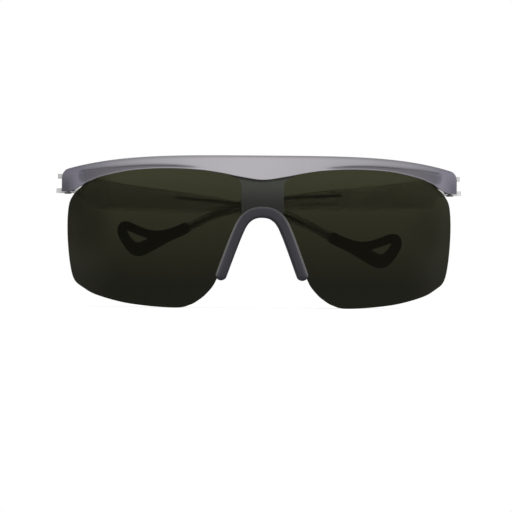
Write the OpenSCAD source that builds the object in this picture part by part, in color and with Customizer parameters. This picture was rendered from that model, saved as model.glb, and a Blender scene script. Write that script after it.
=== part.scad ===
// Wrap-round shield sunglasses with folding arms and looped rubber tips.
// All sizes are in millimetres. Z is up, the lens faces -Y and X runs across the face.
// The arms are drawn folded. The origin is under the middle of the whole object,
// level with the lowest points of the lens.

/* [Front] */
// Width over the two end pieces of the brow bar
frame_w = 141; // [135:0.2:148]
// Radius of the wrap of the brow bar's front face, seen from above
wrap_r = 94; // [90:0.5:104]
// Height of the brow bar's lower edge at its highest, above the bottom of the lens
lens_h = 49.2; // [44:0.2:56]
// Height of the brow bar's top edge over that, in the middle
bar_rise = 4.7; // [4:0.05:7]
// How far the bar's lower edge dips over the nose
bridge_dip = 3.9; // [2.5:0.1:5]
// How far the bar's lower edge drops at the end pieces
end_drop = 8.3; // [7.4:0.1:9]
// How far the bar's top edge falls from the middle to the end pieces
crown_fall = 5.4; // [4:0.1:6.5]
// Thickness of the bar in the middle
bar_mid_t = 5.5; // [5:0.1:7]
// Thickness of the bar at its ends
bar_end_t = 4.0; // [3.8:0.1:5]
// Depth of the scooped panel along the bar's lower front
scoop_depth = 1.1; // [0.4:0.1:1.2]
// Height of the thin lip under the scooped panel
lip_h = 0.45; // [0.3:0.05:0.8]

/* [Lens] */
// Thickness of the lens
lens_t = 1.8; // [1.4:0.1:2.2]
// How far the lens sits behind the bar's front face
lens_setback = 1.7; // [1.6:0.1:1.9]
// How far the lens stands inside from the ends of the bar, on each side
lens_inset = 2.45; // [2.2:0.05:4]
// How far the lens goes up into the bar's groove
lens_grip = 1.45; // [1:0.05:1.8]
// Distance from the middle to the lowest point of each side of the lens
lens_low_x = 31.2; // [28:0.2:34]
// Diameter of the two pins that keep the lens in its groove
pin_d = 1.2; // [0.8:0.1:1.2]
// Distance of each lens pin from the end of the bar
pin_inset = 47.5; // [42:0.5:48]

/* [Nose pad] */
// Height of the top of the pad's middle line below the bar's lower edge at its highest
pad_below = 15.3; // [14:0.1:18]
// Width of the pad's strip, seen from the front
pad_w = 4.0; // [3.6:0.1:4.6]
// Depth of the pad behind the lens front face
pad_depth = 7; // [5:0.1:9]
// Spread of the pad's two ends, from the middle
pad_spread = 15; // [13.8:0.1:15.4]
// Height of the pad's middle line from its ends to its top
pad_h = 24; // [21.5:0.1:24.5]
// Half the width of the bar's tongue that carries the pad
tongue_half_w = 7.5; // [6:0.1:8]
// Diameter of the steel core in the pad
pad_core_d = 0.9; // [0.6:0.05:1]

/* [Hinges] */
// Distance from the frame's outer end to the hinge axis, across the face
hinge_inset = 2.6; // [2.5:0.05:3]
// Distance from the front face of the end piece to the hinge axis, front to back
hinge_back = 7.5; // [7.4:0.1:9]
// Height of the middle of the hinge below the bar's lower edge at its highest
hinge_below = 5.5; // [5.2:0.1:6]
// Radius of the frame's knuckle and of the arm's lugs
knuckle_r = 2.2; // [2:0.05:2.3]
// Height between the arm's two lugs
fork_gap = 3.4; // [3:0.1:3.8]
// Thickness of each lug
lug_t = 1.7; // [1.4:0.05:1.9]
// How far the lower lug's heel reaches past the hinge axis
heel_l = 4.1; // [3.4:0.1:4.3]
// How much shorter the upper lug's heel is
heel_step = 0.5; // [0:0.1:0.8]
// Thickness of each hinge washer
washer_t = 0.25; // [0.2:0.05:0.4]
// Diameter of the hinge screw's shank
screw_d = 1.4; // [1.2:0.1:1.5]
// Diameter of the hinge screw's head
screw_head_d = 2.5; // [2.2:0.1:3]
// Height of the hinge screw's head
screw_head_h = 0.6; // [0.5:0.05:0.8]
// How deep the hinge screw's head is sunk in the lower lug
screw_sink = 0.35; // [0.2:0.05:0.5]
// Wall of the bush in the knuckle
bush_wall = 0.45; // [0.3:0.05:0.6]

/* [Arms] */
// Length of the arm's blade from the hinge axis to the rubber tip, as a part of the frame's width
blade_share = 0.66; // [0.62:0.005:0.69]
// Thickness of the blade at the hinge
blade_hinge_t = 2.8; // [2.4:0.1:3]
// Thickness of the blade at the rubber tip
blade_tip_t = 1.9; // [1.7:0.1:2.2]
// Radius of the arm's inward bow, seen from above
bow_r = 820; // [700:10:2000]
// Turn of the left arm away from the lens when it is folded, in degrees
left_fold = 3.1; // [2.7:0.1:4]
// How far the left arm hangs lower than the right one, in degrees
left_sag = 1.9; // [0:0.1:2.5]
// Diameter of the steel core wire
core_d = 1.1; // [0.8:0.05:1.2]
// Where the core wire starts, along the arm from the hinge axis
core_start = 38; // [30:1:50]
// Length of the rubber tip
tip_l = 25.6; // [23:0.2:29]
// Thickness of the rubber tip, across the arm
tip_t = 3.6; // [3:0.1:4.2]

/* [Hidden] */
$fn = 64;

// Clearances between pieces
seat_gap = 0.05;
run_gap = 0.05;
washer_gap = 0.02;
sweep_gap = 0.25;

// Heights and places that follow from the sizes above
half_w = frame_w / 2;
lens_half_w = half_w - lens_inset;
lens_out_r = wrap_r - lens_setback;
lens_in_r = lens_out_r - lens_t;
hinge_x = half_w - hinge_inset;
hinge_y = wrap_r - sqrt(wrap_r * wrap_r - hinge_x * hinge_x) + hinge_back;
hinge_z = lens_h - hinge_below;
blade_l = blade_share * frame_w;
blade_thinning = (blade_hinge_t - blade_tip_t) / (blade_l * blade_l);
blade_back_r = 1 / (1 / bow_r + blade_thinning);
left_arm_back = blade_back_r * (1 - cos(left_fold)) + blade_hinge_t / 2 * cos(left_fold);
depth = hinge_y + max(knuckle_r, left_arm_back);
pad_top_z = lens_h - pad_below;
pad_end_z = pad_top_z - pad_h;
step = 0.01;

// Colours as the object shows them
frame_tone = [0.62, 0.61, 0.64, 0.9];
lens_tone = [0.16, 0.17, 0.12, 0.85];
pad_tone = [0.36, 0.36, 0.38];
arm_tone = [0.78, 0.78, 0.80, 0.8];
steel_tone = [0.45, 0.45, 0.47];
rubber_tone = [0.07, 0.07, 0.06];
nylon_tone = [0.9, 0.9, 0.88];

// Smooth curve through points

function blend(a, b, c, d, t) =
    0.5 * (2 * b + (c - a) * t + (2 * a - 5 * b + 4 * c - d) * t * t
    + (3 * b - a - 3 * c + d) * t * t * t);

function smooth_path(p, n) = [
    for (i = [0 : len(p) - 2])
        for (k = [0 : n - 1])
            blend(p[max(i - 1, 0)], p[i], p[i + 1], p[min(i + 2, len(p) - 1)], k / n),
    p[len(p) - 1]
];

function smooth_loop(p, n) = [
    for (i = [0 : len(p) - 1])
        for (k = [0 : n - 1])
            blend(p[(i + len(p) - 1) % len(p)], p[i], p[(i + 1) % len(p)],
                p[(i + 2) % len(p)], k / n)
];

function flip_x(p) = [-p[0], p[1]];

function reversed(p) = [for (i = [len(p) - 1 : -1 : 0]) p[i]];

// A right half, from the middle outwards, with its mirror image before it
function both_halves(p) = concat([for (i = [len(p) - 1 : -1 : 1]) flip_x(p[i])], p);

function ramp(x, a, b) =
    let (t = min(max((x - a) / (b - a), 0), 1)) t * t * (3 - 2 * t);

// Solid through rings of points

module loft(rings) {
    n = len(rings);
    m = len(rings[0]);
    sides = [
        for (k = [0 : n - 2])
            for (i = [0 : m - 1])
                let (j = (i + 1) % m)
                    each [
                        [k * m + i, (k + 1) * m + j, k * m + j],
                        [k * m + i, (k + 1) * m + i, (k + 1) * m + j]
                    ]
    ];
    near = [for (i = [0 : m - 1]) i];
    far = [for (i = [m - 1 : -1 : 0]) (n - 1) * m + i];
    polyhedron(points = [for (r = rings) each r], faces = concat([near], sides, [far]),
        convexity = 12);
}

// Round rod along points, with rings square to its path
function rod_rings(p, r, sides) = [
    for (i = [0 : len(p) - 1])
        let (
            a = p[max(i - 1, 0)],
            b = p[min(i + 1, len(p) - 1)],
            t = (b - a) / norm(b - a),
            u = cross([0, 1, 0], t) / norm(cross([0, 1, 0], t)),
            v = cross(t, u)
        )
        [for (k = [0 : sides - 1])
            p[i] + r * cos(360 * k / sides) * u + r * sin(360 * k / sides) * v]
];

// Puts a piece in its place front to back, so that the origin is in the middle
module placed() {
    translate([0, -depth / 2, 0]) children();
}

// Brow bar

low_points = [
    [0, bridge_dip],
    [0.114 * half_w, 0.72 * bridge_dip],
    [0.213 * half_w, 0.37 * bridge_dip],
    [0.327 * half_w, 0.1 * bridge_dip],
    [0.49 * half_w, 0],
    [0.654 * half_w, 0.088 * end_drop],
    [0.797 * half_w, 0.345 * end_drop],
    [0.855 * half_w, 0.54 * end_drop],
    [0.875 * half_w, 0.61 * end_drop],
    [0.893 * half_w, 0.72 * end_drop],
    [0.92 * half_w, 0.865 * end_drop],
    [0.94 * half_w, 0.95 * end_drop],
    [0.965 * half_w, end_drop],
    [half_w, end_drop]
];
low_path = smooth_path(both_halves(low_points), 6);

end_corner_r = 2;
edge_round = 0.6;
crown_power = 3.95;
scoop_in_x = 0.27 * half_w;
scoop_full_x = 0.48 * half_w;
scoop_end_inset = 5.05;
scoop_end_round = 2.3;
scoop_lean = 2;
scoop_corner_r = 2.4;
scoop_corner_drop = 1.2;
scoop_end_x = half_w - scoop_end_inset;
scoop_out_x = scoop_end_x - scoop_end_round;
band_min_h = 1.5;
scoop_slope = 0.8;
// Upper edge of the scoop, as parts of the half width and heights over the lens
scoop_edge = [
    [0, -4],
    [0.2, -1],
    [0.26, -0.15],
    [0.32, 0.45],
    [0.4, 0.9],
    [0.5, 1.1],
    [0.6, 1],
    [0.7, 0.53],
    [0.8, -0.1],
    [0.87, -0.8],
    [0.92, -1.45],
    [1, -2.6]
];
scoop_path = smooth_path([for (q = scoop_edge) [q[0] * half_w, q[1]]], 4);
groove_end_inset = 2.4;
groove_end_x = half_w - groove_end_inset;
groove_room = 0.4;
tongue_fillet = 2.2;
back_rise = 0.95;

function bar_low(x) = lens_h - lookup(abs(x), low_path);

function end_round(x) =
    let (e = max(abs(x) - (half_w - end_corner_r), 0))
        end_corner_r - sqrt(max(pow(end_corner_r, 2) - e * e, 0));

function bar_top(x) =
    lens_h + bar_rise - crown_fall * pow(abs(x) / half_w, crown_power) - end_round(x);

function bar_t(x) = bar_mid_t - (bar_mid_t - bar_end_t) * pow(abs(x) / half_w, 2);

// How much lower the scoop's upper edge is at its round outer corner
function scoop_corner(x) =
    let (t = min(max((abs(x) - scoop_end_x + scoop_corner_r) / scoop_corner_r, 0), 1))
        scoop_corner_drop * (1 - sqrt(1 - t * t));

// Height of the scoop's upper edge, held between the lip and the bar's top
function scoop_high(x) =
    max(
        bar_low(x) + 1.4 * lip_h,
        min(lens_h + lookup(abs(x), scoop_path), bar_top(x) - band_min_h) - scoop_corner(x)
    );

// Depth of the scoop, whose outer end leans, so the place is given with its own lean
function scoop_in(x, lean) =
    scoop_depth * ramp(abs(x), scoop_in_x, scoop_full_x)
    * (1 - ramp(abs(x) + lean, scoop_out_x, scoop_end_x));

// Lower edge of the bar's back wall, which hides behind the front's lower edge and runs
// down as a tongue behind the lens
function back_low(x) =
    let (
        x_in = abs(x) * (1 - bar_t(x) / wrap_r),
        low = min(bar_low(x_in), bar_low(x) + back_rise * lens_grip),
        seat = lookup(x_in, pad_crest) + seat_gap,
        over = abs(x) - tongue_half_w
    )
    over <= 0 ? seat
        : over < tongue_fillet
            ? low - tongue_fillet + sqrt(pow(tongue_fillet, 2) - pow(tongue_fillet - over, 2))
            : low;

// Section of the bar as points of radius and height, for a place along its front
function bar_section(x) =
    let (
        top = bar_top(x),
        low = bar_low(x),
        out = wrap_r - 0.2 * end_round(x),
        in = wrap_r - bar_t(x),
        high = scoop_high(x),
        groove = abs(x) < groove_end_x ? lens_grip + groove_room : 2 * seat_gap,
        under = min(bar_low(x * (lens_out_r + seat_gap) / wrap_r), low + 0.5 * groove)
    )
    [
        [in + edge_round, top],
        [out - edge_round, top],
        [out - 0.2 * edge_round, top - 0.3 * edge_round],
        [out, top - edge_round],
        [out, high + scoop_slope],
        [out - scoop_in(x, 0), high],
        [out - scoop_in(x, scoop_lean), low + 1.2 * lip_h],
        [out, low + lip_h],
        [out, low],
        [lens_out_r + seat_gap, under],
        [lens_out_r + seat_gap, low + groove],
        [lens_in_r - seat_gap, low + groove],
        [lens_in_r - seat_gap, back_low(x)],
        [in, back_low(x)],
        [in, top - edge_round]
    ];

function wrapped(x, q) =
    let (a = asin(x / wrap_r))
        [q[0] * sin(a), wrap_r - q[0] * cos(a), q[1]];

bar_half_stations = concat(
    [2.5, 5, tongue_half_w - 0.1, tongue_half_w + step],
    [for (k = [0.15, 0.35, 0.65, 1]) tongue_half_w + k * tongue_fillet],
    [for (k = [1 : 24]) let (a = tongue_half_w + tongue_fillet)
        a + k * (scoop_out_x - scoop_lean - a) / 24],
    [for (k = [0.2, 0.4, 0.6, 0.8, 1])
        scoop_out_x - scoop_lean + k * (scoop_end_x - scoop_out_x + scoop_lean)],
    [groove_end_x - step, groove_end_x + 0.2],
    [for (k = [0, 0.35, 0.65, 0.85, 0.96, 1]) half_w - end_corner_r * (1 - k)]
);
bar_stations = concat(
    [for (i = [len(bar_half_stations) - 1 : -1 : 0]) -bar_half_stations[i]],
    [0],
    bar_half_stations
);

knuckle_h = fork_gap - 2 * (washer_t + 2 * washer_gap);
bush_r = screw_d / 2 + run_gap + bush_wall;
pin_x = half_w - pin_inset;
pin_z = bar_low(pin_x) + lens_grip / 2;
lug_sweep_r = heel_l + sweep_gap;

module at_hinge(side) {
    translate([side * hinge_x, hinge_y, hinge_z]) children();
}

module brow_bar() {
    color(frame_tone)
    placed()
    difference() {
        union() {
            difference() {
                loft([for (x = bar_stations) [for (q = bar_section(x)) wrapped(x, q)]]);
                for (side = [-1, 1]) lug_space(side);
            }
            for (side = [-1, 1]) knuckle(side);
        }
        for (side = [-1, 1]) {
            at_hinge(side) cylinder(r = bush_r + seat_gap, h = 3 * knuckle_h, center = true);
            lens_pin_shape(side, seat_gap);
        }
        translate([0, core_y, pad_top_z])
            cylinder(d = pad_core_d + 2 * seat_gap, h = stem_l + seat_gap);
    }
}

web_back = 3.6;

// Frame's half of one hinge, with the web that joins it to the bar
module knuckle(side) {
    at_hinge(side) {
        cylinder(r = knuckle_r, h = knuckle_h, center = true);
        translate([-knuckle_r, -web_back, -knuckle_h / 2])
            cube([2 * knuckle_r, web_back, knuckle_h]);
    }
}

// Room that the arm's lugs and heels turn in, over and under the knuckle
module lug_space(side) {
    room_h = 3 * fork_gap;
    at_hinge(side) {
        translate([0, 0, knuckle_h / 2]) cylinder(r = lug_sweep_r, h = room_h);
        translate([0, 0, -knuckle_h / 2 - room_h]) cylinder(r = lug_sweep_r, h = room_h);
    }
}

// Lens

// Side of the lens edge from the top corner down: how far inside the widest point, and
// how high, both as parts of the lens height
lens_side = [
    [0.094, 0.862],
    [0.067, 0.840],
    [0.039, 0.806],
    [0.012, 0.748],
    [0, 0.640],
    [0.002, 0.488],
    [0.019, 0.315],
    [0.049, 0.199],
    [0.110, 0.142],
    [0.218, 0.084],
    [0.447, 0.026]
];
// Bottom of the lens edge from its lowest point towards the nose, in the same way
lens_bottom = [
    [0, 0],
    [0.118, 0.020],
    [0.203, 0.071],
    [0.248, 0.114]
];
// Right half of the lens edge, from the top corner round to the nose
lens_edge_points = concat(
    [for (q = lens_side) [lens_half_w - q[0] * lens_h, q[1] * lens_h]],
    [for (q = lens_bottom) [lens_low_x - q[0] * lens_h, q[1] * lens_h]],
    [
        [pad_spread + 0.66 * pad_w, pad_end_z - 0.675 * pad_w],
        [pad_spread + 0.46 * pad_w, pad_end_z - 0.375 * pad_w]
    ]
);
lens_top_end = lens_half_w - 0.114 * lens_h;

// The lens lies inside the bar's front, so its top edge follows the groove further out
function lens_top(x) = bar_low(x * wrap_r / lens_in_r) + lens_grip;

function lens_outline() =
    let (
        top = [for (k = [0 : 30]) [lens_top_end * k / 30, lens_top(lens_top_end * k / 30)]],
        side = smooth_path(lens_edge_points, 5),
        nose = reversed([for (q = pad_line) pad_offset(q, lens_bite)])
    )
    concat(both_halves(top), side, nose, reversed([for (q = side) flip_x(q)]));

module lens_pin_shape(side, gap) {
    a = side * asin(pin_x / wrap_r);
    in = wrap_r - bar_t(pin_x) - (gap > 0 ? pin_d : 0);
    out = wrap_r - lens_setback / 2 + gap;
    translate([0, wrap_r, pin_z])
        rotate([90, 0, a])
            translate([0, 0, in])
                cylinder(d = pin_d + 2 * gap, h = out - in);
}

module lens_pin(side) {
    color(steel_tone)
    placed()
    lens_pin_shape(side, 0);
}

module shield_lens() {
    color(lens_tone)
    placed()
    difference() {
        intersection() {
            translate([0, wrap_r, 0]) rotate([90, 0, 0])
                linear_extrude(height = 2 * wrap_r) polygon(lens_outline());
            translate([0, wrap_r, -lens_t]) difference() {
                cylinder(r = lens_out_r, h = 1.5 * lens_h, $fn = 240);
                translate([0, 0, -lens_t]) cylinder(r = lens_in_r, h = 2 * lens_h, $fn = 240);
            }
        }
        for (side = [-1, 1]) lens_pin_shape(side, seat_gap);
    }
}

// Nose pad

pad_arch_w = 8.45;
pad_arch_h = 6.6;
// Round top of the pad, as parts of the arch's half width and height
pad_arch = [
    [0, 0],
    [0.38, 0.076],
    [0.675, 0.318],
    [0.864, 0.636],
    [1, 1]
];
pad_leg_w = pad_spread - pad_arch_w;
pad_leg_h = pad_h - pad_arch_h;
pad_points = concat(
    [for (q = pad_arch) [q[0] * pad_arch_w, pad_top_z - q[1] * pad_arch_h]],
    [for (q = [[0.23, 0.21], [0.66, 0.645], [1, 1]])
        [pad_arch_w + q[0] * pad_leg_w, pad_top_z - pad_arch_h - q[1] * pad_leg_h]]
);
// Middle line of the pad, from its left end over the nose to its right end
pad_line_xz = smooth_path(both_halves(pad_points), 4);
pad_line = [
    for (i = [0 : len(pad_line_xz) - 1])
        let (
            a = pad_line_xz[max(i - 1, 0)],
            b = pad_line_xz[min(i + 1, len(pad_line_xz) - 1)],
            t = (b - a) / norm(b - a)
        )
        [pad_line_xz[i][0], pad_line_xz[i][1], -t[1], t[0]]
];
lens_bite = 0.25 * pad_w;

// A point beside the middle line, measured outwards
function pad_offset(q, out) = [q[0] + out * q[2], q[1] + out * q[3]];

// Top of the pad behind the lens, which the bar's tongue sits on
pad_crest = [
    for (q = pad_line) if (q[0] >= -step)
        pad_offset(q, pad_w / 2)
];

function lens_front_y(x) = wrap_r - sqrt(pow(lens_out_r, 2) - x * x);

flange_t = 0.8;
pad_core_back = 1.1;
pad_core_y = lens_t + pad_core_back;
core_y = wrap_r - lens_out_r + pad_core_y;
stem_l = 6;

// Section of the pad: how far out from the middle line, and how far behind the lens front
pad_section = [
    [-0.5, 0.15 * pad_depth],
    [-0.32, -flange_t],
    [0.4, -flange_t],
    [0.5, -0.5 * flange_t],
    [0.5, -seat_gap],
    [0.25 - seat_gap / pad_w, -seat_gap],
    [0.25 - seat_gap / pad_w, lens_t + seat_gap],
    [0.47, lens_t + seat_gap],
    [0.4, 0.9 * pad_depth],
    [0.2, pad_depth],
    [-0.3, pad_depth],
    [-0.5, 0.88 * pad_depth]
];

// Narrowing of the section at the pad's round ends
function pad_taper(i) =
    let (n = len(pad_line) - 1, e = min(i, n - i))
        e == 0 ? 0.45 : e == 1 ? 0.9 : 1;

module nose_pad() {
    color(pad_tone)
    placed()
    difference() {
        loft([
            for (i = [len(pad_line) - 1 : -1 : 0])
                let (q = pad_line[i], w = pad_w * pad_taper(i))
                    [for (s = pad_section)
                        let (p = pad_offset(q, s[0] * w))
                            [p[0], lens_front_y(p[0]) + s[1], p[1]]]
        ]);
        pad_core(seat_gap);
        translate([0, core_y, pad_top_z])
            cylinder(d = pad_core_d + 2 * seat_gap, h = stem_l);
    }
}

core_margin = 5;

// Steel core that runs round inside the pad
module pad_core(gap) {
    loft(rod_rings([
        for (i = [core_margin : len(pad_line) - 1 - core_margin])
            let (q = pad_line[i])
                [q[0], lens_front_y(q[0]) + pad_core_y, q[1]]
    ], pad_core_d / 2 + gap, 10));
}

module nose_core() {
    color(steel_tone)
    placed()
    union() {
        pad_core(0);
        translate([0, core_y, pad_top_z]) cylinder(d = pad_core_d, h = stem_l);
    }
}

// Hinge hardware

module knuckle_bush(side) {
    color(steel_tone)
    placed()
    at_hinge(side)
    difference() {
        cylinder(r = bush_r, h = knuckle_h, center = true);
        cylinder(r = screw_d / 2 + run_gap, h = 2 * knuckle_h, center = true);
    }
}

insert_wall = 0.4;
insert_r = screw_d / 2 + insert_wall;
screw_end_in = 0.1;
screw_top = fork_gap / 2 + lug_t - screw_end_in;
screw_low = screw_sink - fork_gap / 2 - lug_t - screw_head_h;
slot_w = 0.35;

module hinge_screw(side) {
    color(steel_tone)
    placed()
    at_hinge(side)
    difference() {
        union() {
            translate([0, 0, screw_low]) cylinder(d = screw_head_d, h = screw_head_h);
            translate([0, 0, screw_low]) cylinder(d = screw_d, h = screw_top - screw_low);
        }
        translate([-screw_head_d, -slot_w / 2, screw_low - 0.5 * screw_head_h])
            cube([2 * screw_head_d, slot_w, screw_head_h]);
    }
}

module screw_insert(side) {
    color(steel_tone)
    placed()
    at_hinge(side)
    translate([0, 0, fork_gap / 2])
    difference() {
        cylinder(r = insert_r, h = lug_t);
        translate([0, 0, -lug_t]) cylinder(d = screw_d + 2 * washer_gap, h = 3 * lug_t);
    }
}

washer_inset = 0.1;

// One washer of a hinge: end is 1 for the upper one and -1 for the lower one
module hinge_washer(side, end) {
    color(nylon_tone)
    placed()
    at_hinge(side)
    translate([0, 0, end * (fork_gap / 2 - washer_gap - washer_t / 2)])
    difference() {
        cylinder(r = knuckle_r - washer_inset, h = washer_t, center = true);
        cylinder(r = screw_d / 2 + run_gap, h = 2 * washer_t, center = true);
    }
}

// Arms, drawn from the hinge axis along +X, with heights from the hinge's middle

sag_from = 2;

function sag(s, degrees) = max(s - sag_from, 0) * tan(degrees);

function hung(p, degrees) = [for (q = p) [q[0], q[1] - sag(q[0], degrees)]];

fork_half = fork_gap / 2 + lug_t;
// Upper and lower edge of the blade past the fork, as parts of its length
blade_top = [
    [0.265, 0.0018],
    [0.379, -0.0092],
    [0.494, -0.0215],
    [0.571, -0.0305],
    [0.632, -0.0399],
    [0.803, -0.0602],
    [0.905, -0.0989],
    [1.002, -0.1452]
];
blade_low = [
    [0.060, -0.0740],
    [0.090, -0.0890],
    [0.145, -0.0963],
    [0.237, -0.0970],
    [0.387, -0.0966],
    [0.538, -0.0973],
    [0.660, -0.0992],
    [0.806, -0.1070],
    [0.905, -0.1345],
    [0.992, -0.1785]
];
blade_top_points = concat(
    [
        [0, fork_half],
        [0.050 * blade_l, fork_half - 0.001 * blade_l],
        [0.122 * blade_l, fork_half - 0.0158 * blade_l]
    ],
    blade_top * blade_l
);
blade_low_points = concat(
    [
        [0, -fork_half],
        [0.030 * blade_l, -fork_half - 0.003 * blade_l]
    ],
    blade_low * blade_l
);

function blade_outline(degrees) =
    hung(concat(smooth_path(blade_top_points, 6),
        reversed(smooth_path(blade_low_points, 6))), degrees);

tip_z = -0.1624 * blade_l;
// Outline of the rubber tip and of the hole in its loop, as parts of its length
tip_shape = [
    [-0.016, -0.066],
    [0.035, 0.059],
    [0.141, 0.021],
    [0.266, -0.023],
    [0.410, -0.053],
    [0.562, -0.039],
    [0.727, 0.023],
    [0.840, 0.068],
    [0.934, 0.057],
    [0.984, -0.020],
    [0.977, -0.113],
    [0.926, -0.219],
    [0.836, -0.340],
    [0.758, -0.398],
    [0.672, -0.410],
    [0.594, -0.387],
    [0.449, -0.309],
    [0.262, -0.203]
];
tip_hole_shape = [
    [0.576, -0.165],
    [0.720, -0.108],
    [0.840, -0.060],
    [0.847, -0.078],
    [0.797, -0.158],
    [0.742, -0.208],
    [0.690, -0.220],
    [0.632, -0.195]
];

function tip_outline(shape, degrees) =
    hung([for (q = smooth_loop(shape * tip_l, 4)) [q[0] + blade_l, q[1] + tip_z]], degrees);

// Course of the wire past its first stretch, as parts of the blade's length
core_course = [
    [0.643, -0.051],
    [0.730, -0.060],
    [0.806, -0.0775],
    [0.900, -0.117],
    [1, -0.1624]
];
core_points = concat(
    [
        [core_start, -0.0375 * blade_l],
        [0.5 * (core_start + 0.643 * blade_l), -0.0435 * blade_l]
    ],
    core_course * blade_l,
    [
        [blade_l + 0.18 * tip_l, tip_z - 0.074 * tip_l],
        [blade_l + 0.45 * tip_l, tip_z - 0.176 * tip_l]
    ]
);

// Middle of the blade's thickness, which bows towards the lens
function bow(s) = sqrt(bow_r * bow_r - s * s) - bow_r;

// Upright wall that follows the bow, with its thickness at the hinge and at the tip
module bowed_wall(t_hinge, t_tip) {
    thin = (t_hinge - t_tip) / (blade_l * blade_l);
    back_r = 1 / (1 / bow_r + thin);
    front_r = 1 / (1 / bow_r - thin);
    reach = blade_l + 2 * tip_l;
    intersection() {
        translate([0, t_hinge / 2 - back_r, -reach])
            cylinder(r = back_r, h = 2 * reach, $fn = 720);
        difference() {
            translate([-reach / 2, -reach, -reach / 2]) cube([1.5 * reach, 2 * reach, reach]);
            translate([0, -t_hinge / 2 - front_r, -reach])
                cylinder(r = front_r, h = 2 * reach, $fn = 720);
        }
    }
}

module upright(points) {
    rotate([90, 0, 0]) linear_extrude(height = blade_l, center = true) polygon(points);
}

module core_wire_shape(degrees, gap) {
    loft(rod_rings([
        for (q = smooth_path(core_points, 3))
            [q[0], bow(q[0]), q[1] - sag(q[0], degrees)]
    ], core_d / 2 + gap, 12));
}

// Each arm is drawn for the left side, and turned or mirrored into place
module arm_place(side) {
    placed()
    at_hinge(side)
    if (side < 0) rotate([0, 0, left_fold]) children();
    else mirror([1, 0, 0]) children();
}

heel_round = blade_hinge_t / 2;

// One lug from its own lower face up, with a heel that reaches past the hinge axis
module lug(heel) {
    cylinder(r = knuckle_r, h = lug_t);
    translate([heel_round - heel, -heel_round, 0])
        cube([heel - heel_round + 1.5 * knuckle_r, 2 * heel_round, lug_t]);
    translate([heel_round - heel, 0, 0]) cylinder(r = heel_round, h = lug_t);
}

module arm(side, degrees) {
    color(arm_tone)
    arm_place(side)
    difference() {
        union() {
            intersection() {
                upright(blade_outline(degrees));
                bowed_wall(blade_hinge_t, blade_tip_t);
                translate([knuckle_r, -blade_l, -blade_l]) cube(2 * blade_l);
            }
            translate([0, 0, -fork_half]) lug(heel_l);
            translate([0, 0, fork_gap / 2]) lug(heel_l - heel_step);
        }
        cylinder(r = knuckle_r + sweep_gap, h = fork_gap, center = true);
        translate([0, 0, screw_sink - 2 * fork_half])
            cylinder(d = screw_head_d + 2 * run_gap, h = fork_half);
        translate([0, 0, -2 * fork_half])
            cylinder(r = screw_d / 2 + run_gap, h = 2 * fork_half);
        cylinder(r = insert_r + washer_gap, h = 2 * fork_half);
        core_wire_shape(degrees, seat_gap);
    }
}

module core_wire(side, degrees) {
    color(steel_tone)
    arm_place(side)
    core_wire_shape(degrees, 0);
}

module rubber_tip(side, degrees) {
    color(rubber_tone)
    arm_place(side)
    difference() {
        intersection() {
            upright(tip_outline(tip_shape, degrees));
            bowed_wall(tip_t, tip_t);
        }
        upright(tip_outline(tip_hole_shape, degrees));
        upright(blade_outline(degrees));
        core_wire_shape(degrees, seat_gap);
    }
}

brow_bar();
shield_lens();
lens_pin(-1);  // left_lens_pin
lens_pin(1);  // right_lens_pin
nose_pad();
nose_core();
knuckle_bush(-1);  // left_knuckle_bush
knuckle_bush(1);  // right_knuckle_bush
arm(-1, left_sag);  // left_arm
arm(1, 0);  // right_arm
core_wire(-1, left_sag);  // left_core_wire
core_wire(1, 0);  // right_core_wire
rubber_tip(-1, left_sag);  // left_rubber_tip
rubber_tip(1, 0);  // right_rubber_tip
hinge_screw(-1);  // left_hinge_screw
hinge_screw(1);  // right_hinge_screw
screw_insert(-1);  // left_screw_insert
screw_insert(1);  // right_screw_insert
hinge_washer(-1, 1);  // left_upper_washer
hinge_washer(1, 1);  // right_upper_washer
hinge_washer(-1, -1);  // left_lower_washer
hinge_washer(1, -1);  // right_lower_washer
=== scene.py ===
"""Looks of the wrap-round shield sunglasses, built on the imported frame.

The pieces are drawn in millimetres from the same sizes as the solids, with the bar's
front at Y = 0, and Bench.finish brings them to metres and to the frame's own place.
"""

import logging
import math
from dataclasses import dataclass, field
from enum import Enum
from typing import Any, Callable, Iterable, Sequence

import bmesh
import bpy
from mathutils import Matrix, Vector


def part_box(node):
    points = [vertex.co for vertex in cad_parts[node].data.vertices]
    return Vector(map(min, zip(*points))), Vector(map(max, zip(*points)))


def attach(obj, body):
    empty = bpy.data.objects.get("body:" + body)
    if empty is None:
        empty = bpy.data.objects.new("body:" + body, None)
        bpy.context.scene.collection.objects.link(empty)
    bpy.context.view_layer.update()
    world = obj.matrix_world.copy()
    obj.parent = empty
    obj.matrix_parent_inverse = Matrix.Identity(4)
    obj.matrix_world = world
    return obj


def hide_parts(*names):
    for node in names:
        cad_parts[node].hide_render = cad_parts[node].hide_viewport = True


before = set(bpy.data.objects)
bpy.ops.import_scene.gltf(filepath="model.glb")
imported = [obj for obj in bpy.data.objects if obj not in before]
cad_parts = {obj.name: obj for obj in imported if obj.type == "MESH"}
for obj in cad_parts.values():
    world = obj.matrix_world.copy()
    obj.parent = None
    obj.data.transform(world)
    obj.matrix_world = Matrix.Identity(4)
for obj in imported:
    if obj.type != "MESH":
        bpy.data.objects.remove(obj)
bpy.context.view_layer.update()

MM = 0.001
WELD = 1e-4
SHARP_ANGLE = 38.0
SHIFT_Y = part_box("brow_bar")[0].y / MM
LOG = logging.getLogger("sunglasses")

Point = tuple[float, float]
Colour = tuple[float, float, float]
Path = Sequence[Point]
Spot = tuple[float, float, float, float]
Mesh = bmesh.types.BMesh
Material = bpy.types.Material
Socket = bpy.types.NodeSocket
Rule = Callable[[Vector], float]
Face = Callable[[float], float]


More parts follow.
